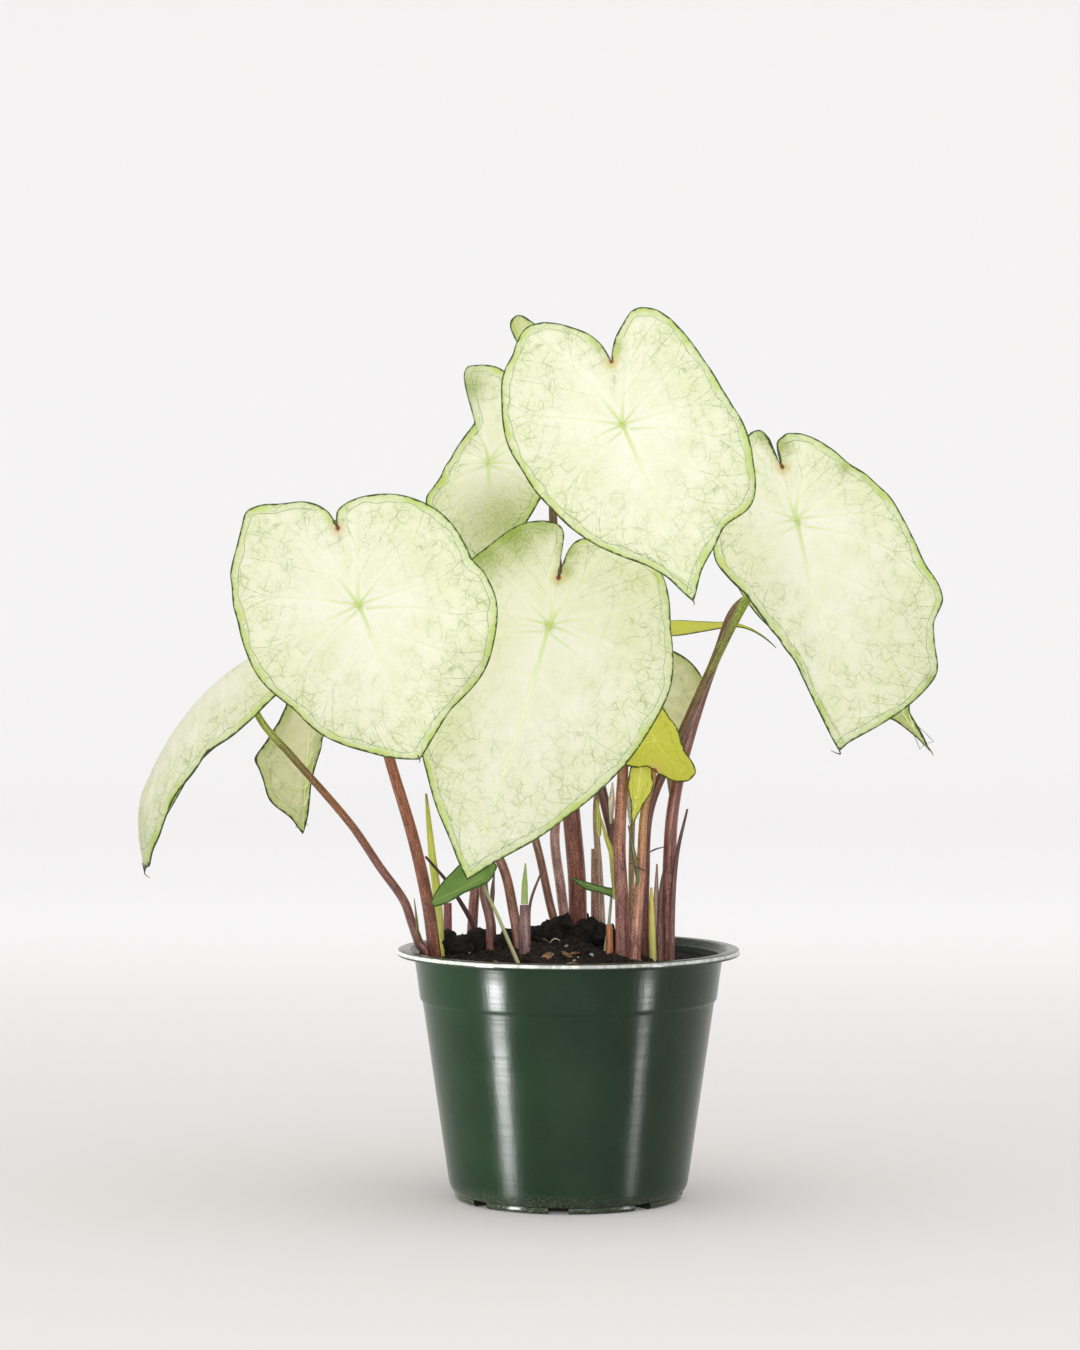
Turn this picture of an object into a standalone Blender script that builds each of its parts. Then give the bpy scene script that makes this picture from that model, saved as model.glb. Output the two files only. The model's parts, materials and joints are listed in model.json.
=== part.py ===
"""Caladium in a round nursery pot.

Metres, +Z up. The origin is the middle of the pot's flat underside, and the plant's
front looks to -Y. Lengths that people read are millimetres, turned to metres by MM.
"""
import math
from dataclasses import dataclass

import bmesh
import bpy
from mathutils import Vector
from mathutils.geometry import interpolate_bezier

MM = 0.001
GAP = 0.3
OBJECT_NAME = "caladium"

# Pot
POT_HEIGHT = 120.0
POT_WALL = 1.2
POT_STEPS = 40
RIM_RADIUS = 82.5
RIM_INNER_RADIUS = 76.5
RIM_ROUND = 1.1
LIP_DROP = 3.2
LEDGE_RADIUS = 75.3
LEDGE_DROP = 2.7
COLLAR_TOP_RADIUS = 74.2
COLLAR_FOOT_RADIUS = 71.5
COLLAR_FOOT_Z = 96.0
WALL_TOP_RADIUS = 70.4
WALL_FOOT_RADIUS = 58.2
WALL_FOOT_Z = 12.0
CREASE_RADIUS = 54.8
CREASE_Z = 5.8
FOOT_RADIUS = 54.4
FOOT_ROUND = 2.0
POT_FLOOR = 1.4

# Drain slots round the foot
SLOT_COUNT = 8
SLOT_WIDTH = 9.5
SLOT_DEPTH = 14.0
SLOT_HEIGHT = 3.2
SLOT_MIDDLE_RADIUS = 52.0
FIRST_SLOT_TURN = -5.0

# Soil
SOIL_EDGE_Z = 112.0
SOIL_HEAP = 11.0
SOIL_HEAP_PLACE = (-12.0, 14.0)
SOIL_HEAP_SPREAD = 36.0
SOIL_RINGS = (20.0, 40.0, 56.0, 67.0)
HOLE_DEPTH = 12.0
HOLE_SIDES = 12
HOLE_SLACK = 0.35

# Blades and stems
BLADE_THICKNESS = 0.7
RING_CROWDING = 0.85
STEM_STRAIGHT = 5.0
STEM_STEPS = 2
STEM_CLEARANCE = 1.9
HUB_PROBE = 0.3

# A plain heart, for the blades that stand behind the others: bearing from the tip, share of the reach
HEART = (
    (0, 1.0), (8, 0.88), (20, 0.76), (40, 0.68), (65, 0.62), (90, 0.60),
    (115, 0.62), (135, 0.65), (150, 0.63), (162, 0.53), (170, 0.41), (177, 0.30),
)


@dataclass(frozen=True)
class Blade:
    """A leaf blade, laid out flat square to its facing and then raised off that plane.

    hub is where the stem joins, mm. facing is (azimuth, elevation), degrees: azimuth 0
    looks to the front and 90 to the right. tip turns the tip from straight down towards
    the blade's right. right and left give the margin's reach in mm at bearings from the
    tip; both end at the notch between the lobes. lean is how far the true blade is raised
    and turned from the layout plane, degrees. arch (towards the tip and towards the lobes)
    and roll are the drop, and fold the rise, in mm at 100 mm from the hub. hook is how far
    from the hub the tip starts to bend, and its drop at the end. ruffle is (mm, waves,
    phase) at the margin. curls are (bearing, spread, mm) where the margin is bent back; a
    bearing to the left is negative. rings is the number of cells from hub to margin.
    """

    name: str
    hub: tuple
    facing: tuple
    tip: float
    right: tuple
    left: tuple
    lean: tuple = (0, 0)
    arch: tuple = (0, 0)
    roll: float = 0
    fold: float = 0
    hook: tuple = (0, 0)
    ruffle: tuple = (1.0, 5, 0.0)
    curls: tuple = ()
    rings: int = 4
    colour: tuple = (232, 238, 200)


@dataclass(frozen=True)
class Stem:
    """A stem standing in the soil: root (x, y), points on its way and radii, mm.

    holds names the blade at its top; without one the last point of the way is its end.
    The radius goes from foot to top with the length above the soil to the power taper.
    """

    name: str
    root: tuple
    way: tuple
    radii: tuple
    holds: str = ""
    colour: tuple = (131, 84, 66)
    resolution: int = 2
    taper: float = 0.8


def heart(tip_reach):
    """Margin stations of a plain heart whose tip reaches tip_reach mm."""
    return tuple((bearing, share * tip_reach) for bearing, share in HEART)


BLADES = (
    Blade(
        name="leaf_top_front", hub=(25, -60, 369), facing=(0, 0), tip=21.6,
        right=((0, 88.3), (7, 76.6), (15, 71), (24, 67), (36, 70.6), (54, 63), (69, 56.8), (80, 52),
               (92, 49.6), (104, 49.4), (116, 51), (128, 54), (136, 56.4), (143, 57.6), (149, 57),
               (153, 55), (158, 48), (163, 41), (168, 30.5)),
        left=((0, 88.3), (6, 73.4), (13, 66), (29, 59), (48, 53.9), (65, 51.1), (83, 51.1), (102, 54.3),
              (121, 57), (136, 60.6), (144, 61), (150, 63), (157, 64.6), (164, 61.8), (168, 58.6),
              (172, 55), (176, 51.2), (180, 47.8), (184, 43.6), (188, 38.5), (192, 30.5)),
        lean=(20, 4), arch=(14, 10), roll=10, ruffle=(1.5, 5, 0.6),
    ),
    Blade(
        name="leaf_left_front", hub=(-97, -70, 285.5), facing=(0, 0), tip=22.3,
        right=((0, 76.3), (10, 68.9), (21, 64.7), (41, 66.1), (52, 65.2), (67, 64.3), (82, 60.1),
               (91, 56.4), (112, 57.2), (133, 55.3), (151, 51.8), (161, 49.4), (168, 47), (172, 44.5),
               (174, 37)),
        left=((0, 76.3), (9, 72.1), (19, 67.5), (39, 61.8), (57, 56.6), (77, 57.4), (92, 57), (103, 57.3),
              (112, 59.2), (120, 60.7), (126, 62.8), (136, 64.2), (145, 67), (151, 69.6), (156, 67.2),
              (164, 60.3), (175, 54), (183, 46), (186, 37)),
        lean=(16, -8), arch=(8, 10), roll=12, ruffle=(1.2, 4, 1.9), curls=((32, 26, 9),),
    ),
    Blade(
        name="leaf_centre_front", hub=(-9, -38, 276), facing=(0, 0), tip=-17.9,
        right=((0, 123.2), (6, 110.5), (15, 98.5), (24, 88.5), (34, 80.9), (44, 75), (63, 67.3), (82, 63.6),
               (98, 59), (108, 57.2), (131, 58.5), (145, 55), (160, 49), (172, 46), (180, 42), (184, 36),
               (187, 22.6)),
        left=((0, 123.2), (3, 117), (7, 109), (14, 99), (23, 88), (40, 74), (60, 62), (80, 55), (100, 50),
              (125, 47.5), (151, 50.2), (159, 49.8), (168, 47.5), (171.5, 43), (173, 22.6)),
        lean=(24, 0), arch=(9, 16), roll=12, fold=6, ruffle=(1.6, 5, 2.6), curls=((-152, 24, 8),),
    ),
    Blade(
        name="leaf_right_front", hub=(109.3, 0, 326.4), facing=(0, 0), tip=10.4,
        right=((0, 113.2), (3, 110), (11, 107), (25, 104), (30.5, 102.4), (33, 100.4), (38.5, 89.8),
               (44, 83.4), (50.5, 82.2), (54.5, 78), (61, 66.5), (68, 60), (75, 55.2), (84, 51),
               (93, 47.9), (102, 44), (111, 41.4), (128, 37.6), (144, 39), (159, 41.2), (167, 42),
               (174, 42), (178.4, 40.4), (182.3, 38.4), (183.5, 34.5), (184, 26)),
        left=((0, 113.2), (4, 92.9), (8, 77.9), (12, 67.5), (16, 62.5), (20, 57.6), (24, 54.7),
              (28, 51.6), (36, 47.2), (48, 43.7), (60, 43.8), (72, 44.4), (84, 42.4), (110, 38.5),
              (140, 40), (156, 44.2), (164, 47), (168, 46.6), (170.4, 45), (171.6, 42.5), (172.3, 36),
              (173.6, 30), (176, 26)),
        lean=(16, 18), arch=(14, 14), roll=26, fold=26, ruffle=(1.8, 6, 0.4),
    ),
    Blade(
        name="leaf_top_left", hub=(-39.2, 25, 354.5), facing=(0, 0), tip=0,
        right=((0, 53.6), (20, 39), (35, 34.3), (40, 33.2), (54, 31.4), (75, 34), (100, 37), (125, 38),
               (145, 37), (156, 26.5)),
        left=((0, 53.6), (15, 46.3), (35, 40), (52, 38), (61, 35.1), (66, 29.9), (74, 24.6), (85, 21.6),
              (99, 18.6), (125, 17.3), (151, 18.6), (160, 21), (162.3, 40), (164, 46), (168, 49.4),
              (172, 49), (184, 47.4), (191, 45), (198, 38), (204, 26.5)),
        lean=(10, -20), arch=(40, 14), roll=14, ruffle=(1.2, 4, 0.0), curls=((-166, 16, 8),),
    ),
    Blade(
        name="leaf_far_left", hub=(-162, 5, 254.5), facing=(-84, 54), tip=0,
        right=((0, 92), (6, 90.8), (12, 90), (18, 86.5), (24, 82), (29.5, 67), (39, 57), (48, 48.5),
               (54, 47.5), (66, 46.5), (78, 44.6), (104, 40.1), (127, 41), (148, 41), (162, 38),
               (172, 30), (178, 22)),
        left=((0, 92), (6, 91), (12, 88.5), (20, 84.5), (26, 78), (33, 68), (40, 59), (50, 54),
              (60, 51.5), (72, 48.5), (84, 44), (96, 41.3), (127, 41), (148, 41), (162, 38), (172, 30),
              (182, 22)),
        arch=(46, 20), hook=(70, 16), roll=50, fold=-40, ruffle=(1.0, 5, 1.0),
    ),
    Blade(
        name="leaf_lower_left", hub=(-125, 25, 243.5), facing=(180, 0), tip=4.3,
        right=((0, 70.8), (5.8, 63.3), (15, 58.2), (17.3, 56.5), (23.6, 49.5), (29.2, 45.4), (35.4, 42.2),
               (37.5, 32), (44, 20.4), (60, 13.5), (90, 13), (130, 18), (160, 17), (175, 10)),
        left=((0, 70.8), (1.5, 62), (2.5, 47), (6, 36.5), (11, 29.4), (16, 23.4), (45, 20), (90, 20),
              (130, 20), (165, 17), (185, 10)),
        lean=(14, 42), arch=(16, 14), roll=12, ruffle=(1.2, 4, 0.5),
    ),
    Blade(
        name="leaf_far_right", hub=(139, 40, 271.3), facing=(180, 0), tip=-33,
        right=((0, 68.2), (1.5, 59.7), (7, 47.8), (15, 42), (30, 36), (60, 27.5), (90, 25), (130, 26),
               (155, 25), (172, 18)),
        left=((0, 68.2), (1.4, 59.8), (2.8, 47.5), (8, 43), (20, 39), (45, 35), (90, 31), (130, 32),
              (165, 28), (188, 18)),
        lean=(16, -36), arch=(14, 16), roll=14, ruffle=(1.0, 5, 0.2),
    ),
    Blade(
        name="leaf_inner_right", hub=(34.8, 24, 238.7), facing=(180, 0), tip=-10,
        right=((0, 33), (20, 33), (50, 35), (90, 35), (130, 35), (160, 29), (182, 18)),
        left=((0, 33), (20, 28), (49, 28.2), (90, 32.5), (136, 29.1), (160, 26), (178, 18)),
        lean=(12, 12), arch=(20, 12), roll=18, ruffle=(1.0, 4, 0.8), rings=3,
    ),
    Blade(
        name="leaf_young", hub=(41.2, -15, 220.7), facing=(0, 0), tip=-160,
        right=((0, 33), (30, 26), (60, 24), (90, 21), (120, 17), (145, 13.3), (160, 14.8)),
        left=((0, 33), (20, 22), (36, 15.8), (60, 12.5), (99, 12.2), (125, 14.3), (136, 18.5), (144, 23.7),
              (150, 26.1), (158, 26.3), (170, 23.7), (182, 19.6), (200, 14.8)),
        lean=(-6, 18), arch=(18, 40), roll=70, ruffle=(0.6, 3, 0.4), rings=3,
        colour=(214, 216, 96),
    ),
    Blade(
        name="leaf_narrow", hub=(35, 35, 271.7), facing=(0, 76), tip=88,
        right=((0, 67), (2, 52), (5, 44), (10, 36), (20, 28), (35, 23), (60, 18), (90, 17), (130, 18),
               (155, 16), (176, 9)),
        left=((0, 67), (2, 52), (5, 44), (10, 36), (20, 28), (35, 23), (60, 18), (90, 17), (130, 18),
              (155, 16), (184, 9)),
        lean=(0, -6), arch=(0, 20), hook=(42, 14), roll=-30, fold=4, ruffle=(0.5, 4, 0.0), rings=3,
        colour=(150, 160, 60),
    ),
    Blade(
        name="leaf_small", hub=(34.5, -12, 206.3), facing=(0, 0), tip=-8.5,
        right=((0, 26.6), (4, 22), (12, 17), (19, 14.6), (33, 12), (51, 9.3), (65, 7), (90, 5.5),
               (130, 5.5), (160, 6), (178, 5)),
        left=((0, 26.6), (10, 15.8), (33, 9.5), (60, 6), (90, 5), (130, 5), (160, 6), (182, 5)),
        lean=(10, 6), arch=(20, 20), roll=60, ruffle=(0.3, 3, 0.0), rings=2,
        colour=(206, 200, 84),
    ),
    Blade(
        name="leaf_top_back", hub=(0.7, 5, 386), facing=(180, 0), tip=0,
        right=((0, 34), (10, 33), (30, 31), (60, 29), (90, 28), (115, 30), (128, 32), (132.4, 33.2),
               (135, 38), (138, 43), (141.5, 45.3), (145, 45.6), (148.5, 44), (151.5, 40), (156, 35),
               (165, 31), (175, 22)),
        left=((0, 34), (10, 33), (30, 33), (60, 34), (90, 30), (120, 26), (144, 22), (165, 24), (175, 23),
              (185, 22)),
        lean=(8, 8), arch=(16, 14), roll=14, ruffle=(1.0, 5, 0.3), rings=3,
    ),
    Blade(
        name="leaf_back_left", hub=(-96, 60, 291.5), facing=(-155, 0), tip=6,
        right=heart(70), left=heart(70),
        lean=(26, 0), arch=(14, 12), roll=14, ruffle=(1.6, 5, 1.4),
    ),
    Blade(
        name="leaf_back", hub=(-7, 70, 266.5), facing=(176, 0), tip=-5,
        right=heart(80), left=heart(80),
        lean=(26, 0), arch=(12, 14), roll=12, ruffle=(1.6, 4, 2.2),
    ),
    Blade(
        name="leaf_back_right", hub=(115, 60, 314), facing=(158, 0), tip=-14,
        right=heart(67), left=heart(67),
        lean=(24, 0), arch=(14, 12), roll=12, ruffle=(1.4, 5, 0.9),
    ),
    Blade(
        name="weed_leaf_oval", hub=(-40.7, -38, 156.8), facing=(0, 0), tip=-65,
        right=((0, 26.5), (4, 26.3), (9, 21), (11.5, 15.8), (14.5, 10.4), (38, 4.6), (90, 3), (141, 3.9),
               (180, 6.7)),
        left=((0, 26.5), (8, 23), (15.5, 20), (36, 14.4), (52, 12.6), (81, 10.2), (124, 9.4), (166, 9),
              (180, 6.7)),
        lean=(30, 0), arch=(20, 20), ruffle=(0.0, 3, 0.0), rings=2,
        colour=(84, 122, 62),
    ),
    Blade(
        name="weed_leaf_thin", hub=(20.8, -5.5, 147.2), facing=(0, 0), tip=-109,
        right=((0, 21.8), (4, 18), (12.7, 13), (21, 5.8), (60, 2.5), (120, 2.2), (180, 2.5)),
        left=((0, 21.8), (5, 11.6), (11, 6.7), (35, 3), (90, 2), (180, 2.5)),
        arch=(20, 0), ruffle=(0.0, 3, 0.0), rings=2,
        colour=(92, 116, 84),
    ),
)

STEMS = (
    Stem("stem_top_front", (26.3, -15), ((25.5, -13, 144.4), (24.4, -11, 168.1), (25.3, -8, 191.8),
                                         (26.1, -5, 206), (26.6, -6, 287.5), (26.4, -20, 335)),
         (4.0, 1.6), "leaf_top_front", taper=0.5),
    Stem("stem_left_front", (-63.6, -10), ((-67.4, -12, 143.4), (-74, -16, 173.7), (-85, -28, 213.3),
                                           (-92.2, -42, 245.3)), (3.1, 1.9), "leaf_left_front", taper=1.3),
    Stem("stem_centre_front", (4.8, 12), ((4.1, 9, 152.3), (1.7, 5, 180.5), (-3.1, -3, 230)), (4.4, 2.6),
         "leaf_centre_front", taper=3.0),
    Stem("stem_right_front", (36.7, -2), ((36.7, -1, 153), (39.2, 1, 187.5), (53.7, 3, 221.1),
                                          (73.5, 5, 264.4), (84, 7, 284.5)), (2.4, 2.2), "leaf_right_front"),
    Stem("stem_top_left", (-47.5, 25), ((-46, 24, 141.4), (-43, 26, 170), (-39, 34, 250), (-39, 40, 310)),
         (2.6, 1.8), "leaf_top_left"),
    Stem("stem_far_left", (-67.2, 6), ((-72.2, 6, 122), (-75.6, 6, 131.4), (-79.6, 6, 142.4),
                                       (-90.8, 5, 158.3), (-105.2, 3, 179.7), (-133.7, -1, 213.1),
                                       (-147.2, 0, 228.4)), (2.3, 1.6), "leaf_far_left"),
    Stem("stem_lower_left", (-23.2, -14), ((-25.6, -12, 134.8), (-32, 0, 160.2), (-51.3, 6, 193.5),
                                           (-68, 12, 220.7), (-95, 17, 238)), (2.6, 1.6), "leaf_lower_left"),
    Stem("stem_far_right", (47.2, -5), ((48.2, -4, 153.3), (50.2, 0, 186.6), (57.7, 12, 218.4),
                                        (72.5, 18, 262), (85, 16, 287), (118, 24, 290)), (3.7, 1.7),
         "leaf_far_right"),
    Stem("stem_inner_right", (16.9, 32), ((15.4, 32, 150.5), (13.5, 30, 186), (17.5, 18, 208), (26, 13, 225)),
         (1.8, 1.4), "leaf_inner_right", resolution=1),
    Stem("stem_young", (31.6, -22), ((32.3, -22, 130.9), (34.6, -14, 160), (36.3, -6, 186), (40.5, -5, 204)),
         (2.8, 1.5), "leaf_young", colour=(166, 120, 72)),
    Stem("stem_narrow", (48.6, 12), ((49.6, 13, 148), (51.5, 27, 180), (47.5, 40, 212), (40, 42, 250)),
         (1.6, 1.2), "leaf_narrow", resolution=1),
    Stem("stem_small", (31.2, 14), ((30.5, 12, 160), (31.5, 2, 190)), (1.7, 1.2), "leaf_small", resolution=1),
    Stem("stem_top_back", (26.7, 2), ((23.8, 4, 162.3), (18.6, 6, 185.3), (5.6, 9, 239.2), (-4.1, 7, 297.1),
                                      (-7.5, 3, 332), (-4, -2, 364)), (2.7, 1.9), "leaf_top_back"),
    Stem("stem_back_left", (-4.1, 25), ((-9, 25, 138.9), (-14.9, 28, 165.4), (-30, 42, 218), (-60, 48, 270)),
         (2.1, 1.7), "leaf_back_left"),
    Stem("stem_back", (-37.1, -6), ((-37.3, -5, 132), (-41.1, 2, 152.8), (-33.2, 16, 192), (-18, 42, 246)),
         (2.5, 1.8), "leaf_back"),
    Stem("stem_back_right", (-0.2, 32), ((-3.7, 32, 145.6), (-6.6, 37, 174.6), (3.2, 42, 238.2),
                                         (30.2, 40, 292.3), (66, 40, 328)), (2.6, 1.7), "leaf_back_right"),
    Stem("stub_pink", (-58.6, 14), ((-58.6, 14, 128), (-58.6, 14, 140.5)), (2.2, 2.0), colour=(170, 92, 100),
         resolution=1),
    Stem("stump_cut", (13.4, 22), ((13.1, 22, 142), (13.1, 22, 166.3)), (2.3, 2.1), colour=(160, 110, 92)),
    Stem("shoot_sheath", (-20.6, -24), ((-20.7, -24, 130), (-20.9, -24, 142.7)), (2.9, 2.2),
         colour=(150, 112, 112)),
    Stem("shoot_bract", (-18.9, -19.2), ((-18.2, -19.2, 143), (-12.1, -22, 160.2)), (0.8, 0.45),
         colour=(128, 84, 80), resolution=1, taper=2.0),
    Stem("sprout_left", (-61.4, -2), ((-63.2, -1.5, 145.6), (-65.6, -1, 165), (-68.5, 0, 194.4)), (2.2, 0.5),
         colour=(213, 224, 69), resolution=1, taper=3.0),
    Stem("sprout_right", (40.4, -12), ((39.9, -12, 132), (39.6, -12, 150.1)), (1.8, 0.5),
         colour=(222, 214, 90), resolution=1, taper=2.0),
    Stem("sheath_tip", (49.1, -12.5), ((49.9, -10.8, 144.2), (52, -9.6, 166), (56.9, -9, 187.5)), (1.5, 0.5),
         colour=(96, 60, 60), resolution=1, taper=2.0),
    Stem("twig", (-41.7, 6), ((-46.5, 4, 132.3), (-58.1, -4, 151.9), (-68.5, -8, 164.6)), (1.5, 0.6),
         colour=(52, 36, 34), resolution=1),
    Stem("weed_stalk_oval", (-23.5, -37), ((-32.2, -37, 136),), (1.0, 0.7), "weed_leaf_oval",
         colour=(176, 176, 128), resolution=1),
    Stem("weed_stalk_thin", (17.5, -7), ((19.4, -5, 131.9),), (0.9, 0.6), "weed_leaf_thin",
         colour=(120, 130, 84), resolution=1),
)


def linear(colour):
    """Turn an 8-bit display colour into the linear values a shader takes."""
    return tuple((c / 255) ** 2.2 for c in colour) + (1.0,)


def finish(name, colour, roughness):
    """A Principled material in a plain colour."""
    material = bpy.data.materials.new(name)
    material.use_nodes = True
    shader = material.node_tree.nodes["Principled BSDF"]
    shader.inputs["Base Color"].default_value = linear(colour)
    shader.inputs["Roughness"].default_value = roughness
    shader.inputs["Metallic"].default_value = 0.0
    return material


def place(name, data, collection, material):
    """Make an object of a mesh or curve, in a collection, with one material."""
    thing = bpy.data.objects.new(name, data)
    collection.objects.link(thing)
    data.materials.append(material)
    return thing


def evaluated_mesh(thing):
    """The mesh of an object with its modifiers applied."""
    depsgraph = bpy.context.evaluated_depsgraph_get()
    return bpy.data.meshes.new_from_object(thing.evaluated_get(depsgraph))


def profile_mesh(name, profile):
    """An open polyline in the XZ plane from (radius, height) pairs in mm."""
    bm = bmesh.new()
    points = [bm.verts.new((radius * MM, 0.0, height * MM)) for radius, height in profile]
    for start, end in zip(points, points[1:]):
        bm.edges.new((start, end))
    mesh = bpy.data.meshes.new(name)
    bm.to_mesh(mesh)
    bm.free()
    return mesh


def turn(thing, steps):
    """Turn a profile round Z into a closed solid."""
    screw = thing.modifiers.new("Turned", "SCREW")
    screw.steps = steps
    screw.render_steps = steps
    screw.use_merge_vertices = True
    screw.merge_threshold = 0.00001
    screw.use_smooth_shade = True
    return screw


def cut_with(thing, collection):
    """Cut every object of a collection out of a solid."""
    cut = thing.modifiers.new("Cut", "BOOLEAN")
    cut.operation = "DIFFERENCE"
    cut.solver = "EXACT"
    cut.operand_type = "COLLECTION"
    cut.collection = collection


def place_cutter(name, mesh, collection):
    """An object that only cuts: out of the render, shown as wire."""
    cutter = bpy.data.objects.new(name, mesh)
    collection.objects.link(cutter)
    cutter.hide_render = True
    cutter.display_type = "WIRE"
    return cutter


def pot_profile():
    """The pot's section, from the middle of its floor over the rim to the middle of its underside."""
    lip_bottom = POT_HEIGHT - LIP_DROP
    ledge_z = POT_HEIGHT - LEDGE_DROP
    inside = [
        (0.0, POT_FLOOR),
        (FOOT_RADIUS - POT_WALL - FOOT_ROUND, POT_FLOOR),
        (FOOT_RADIUS - POT_WALL, POT_FLOOR + FOOT_ROUND),
        (CREASE_RADIUS, CREASE_Z + 2 * POT_WALL),
        (WALL_FOOT_RADIUS - POT_WALL, WALL_FOOT_Z),
        (WALL_TOP_RADIUS - POT_WALL, COLLAR_FOOT_Z - 0.4),
        (COLLAR_FOOT_RADIUS - POT_WALL, COLLAR_FOOT_Z + 1.0),
        (COLLAR_TOP_RADIUS - POT_WALL, ledge_z - 0.4),
        (LEDGE_RADIUS, ledge_z),
        (RIM_INNER_RADIUS, POT_HEIGHT),
    ]
    lip = [
        (RIM_RADIUS - RIM_ROUND, POT_HEIGHT),
        (RIM_RADIUS, POT_HEIGHT - RIM_ROUND),
        (RIM_RADIUS, lip_bottom + 0.4),
        (COLLAR_TOP_RADIUS + 0.8, lip_bottom),
    ]
    outside = [
        (COLLAR_TOP_RADIUS, lip_bottom - 0.6),
        (COLLAR_FOOT_RADIUS, COLLAR_FOOT_Z),
        (WALL_TOP_RADIUS, COLLAR_FOOT_Z - 0.8),
        (WALL_FOOT_RADIUS, WALL_FOOT_Z),
        (WALL_FOOT_RADIUS - 0.9, WALL_FOOT_Z - 3.4),
        (CREASE_RADIUS, CREASE_Z),
        (FOOT_RADIUS, FOOT_ROUND),
        (FOOT_RADIUS - FOOT_ROUND, 0.0),
        (0.0, 0.0),
    ]
    return inside + lip + outside


def make_slots(collection):
    """A box for each drain slot, across the foot of the wall and the edge of the floor."""
    for index in range(SLOT_COUNT):
        bm = bmesh.new()
        bmesh.ops.create_cube(bm, size=1.0)
        heading = math.radians(-90 + FIRST_SLOT_TURN + index * 360 / SLOT_COUNT)
        for vert in bm.verts:
            out = SLOT_MIDDLE_RADIUS + vert.co.x * SLOT_DEPTH
            across = vert.co.y * SLOT_WIDTH
            height = SLOT_HEIGHT if vert.co.z > 0 else -2.0
            vert.co = Vector((
                out * math.cos(heading) - across * math.sin(heading),
                out * math.sin(heading) + across * math.cos(heading),
                height,
            )) * MM
        mesh = bpy.data.meshes.new("drain_slot")
        bm.to_mesh(mesh)
        bm.free()
        place_cutter(f"drain_slot_{index + 1}", mesh, collection)


def make_pot(parts, slots):
    """The nursery pot, turned in one piece, with its drain slots."""
    pot = place("pot", profile_mesh("pot", pot_profile()), parts, finish("pot", (46, 68, 46), 0.22))
    turn(pot, POT_STEPS)
    cut_with(pot, slots)


def soil_level(x, y):
    """Height of the soil's top at a place, mm: heaped left of the middle, with soft lumps."""
    share = min(math.hypot(x, y) / COLLAR_TOP_RADIUS, 1.0)
    off = math.hypot(x - SOIL_HEAP_PLACE[0], y - SOIL_HEAP_PLACE[1]) / SOIL_HEAP_SPREAD
    lumps = 1.8 * math.sin(0.13 * x + 1.1) * math.cos(0.11 * y - 0.4) + 0.9 * math.sin(0.29 * x + 0.21 * y)
    return SOIL_EDGE_Z + SOIL_HEAP * math.exp(-off ** 2 / 2) + lumps * (1.0 - share ** 2)


def soil_profile():
    """The soil's section: its top, then down the inside of the pot's wall."""
    slack = POT_WALL + GAP
    side = [
        (COLLAR_TOP_RADIUS - 0.7 - slack, SOIL_EDGE_Z),
        (COLLAR_FOOT_RADIUS - slack, COLLAR_FOOT_Z + 1.15),
        (WALL_TOP_RADIUS - slack, COLLAR_FOOT_Z - 0.28),
        (WALL_FOOT_RADIUS - slack, WALL_FOOT_Z + 0.4),
        (CREASE_RADIUS - 0.6, CREASE_Z + 2 * POT_WALL + 0.3),
        (FOOT_RADIUS - slack - 0.2, POT_FLOOR + FOOT_ROUND + 0.4),
        (FOOT_RADIUS - slack - FOOT_ROUND, POT_FLOOR + GAP),
        (0.0, POT_FLOOR + GAP),
    ]
    return [(0.0, SOIL_EDGE_Z)] + [(radius, SOIL_EDGE_Z) for radius in SOIL_RINGS] + side


def make_soil(parts, holes):
    """The soil body, heaped by formula, with a plain hole for each stem."""
    blank = bpy.data.objects.new("soil_blank", profile_mesh("soil", soil_profile()))
    parts.objects.link(blank)
    turn(blank, POT_STEPS)
    mesh = evaluated_mesh(blank)
    bpy.data.objects.remove(blank)
    for vert in mesh.vertices:
        if vert.co.z > (SOIL_EDGE_Z - 0.01) * MM:
            vert.co.z = soil_level(vert.co.x / MM, vert.co.y / MM) * MM
    soil = place("soil", mesh, parts, finish("soil", (38, 32, 26), 0.95))
    cut_with(soil, holes)


def blade_axes(blade):
    """The blade's layout axes: side, tip direction and facing."""
    azimuth, elevation = (math.radians(angle) for angle in blade.facing)
    facing = Vector((
        math.sin(azimuth) * math.cos(elevation),
        -math.cos(azimuth) * math.cos(elevation),
        math.sin(elevation),
    ))
    down = (Vector((0, 0, -1)) + facing * facing.z).normalized()
    right = facing.cross(down)
    tip = math.radians(blade.tip)
    tipward = down * math.cos(tip) + right * math.sin(tip)
    return facing.cross(tipward), tipward, facing


def lift(blade, across, along, share, bearing):
    """Rise of the blade off its layout plane, mm, at a place across and along from the hub."""
    tip = math.radians(blade.tip)
    down = along * math.cos(tip) - across * math.sin(tip)
    right = along * math.sin(tip) + across * math.cos(tip)
    rise = down * math.tan(math.radians(blade.lean[0])) - right * math.tan(math.radians(blade.lean[1]))
    rise -= blade.arch[0 if along > 0 else 1] * (along / 100) ** 2
    rise -= blade.roll * (across / 100) ** 2
    rise += blade.fold * (math.hypot(across, 8) - 8) / 100
    start, drop = blade.hook
    if drop and along > start:
        rise -= drop * ((along - start) / (blade.right[0][1] - start)) ** 2
    size, waves, phase = blade.ruffle
    rise += size * share ** 4 * math.sin(waves * math.radians(bearing) + phase)
    for middle, spread, drop in blade.curls:
        off = abs(bearing - middle) / spread
        if off < 1:
            rise -= drop * math.cos(off * math.pi / 2) ** 2 * max(share - 0.55, 0) ** 2 / 0.45 ** 2
    return rise


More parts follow.
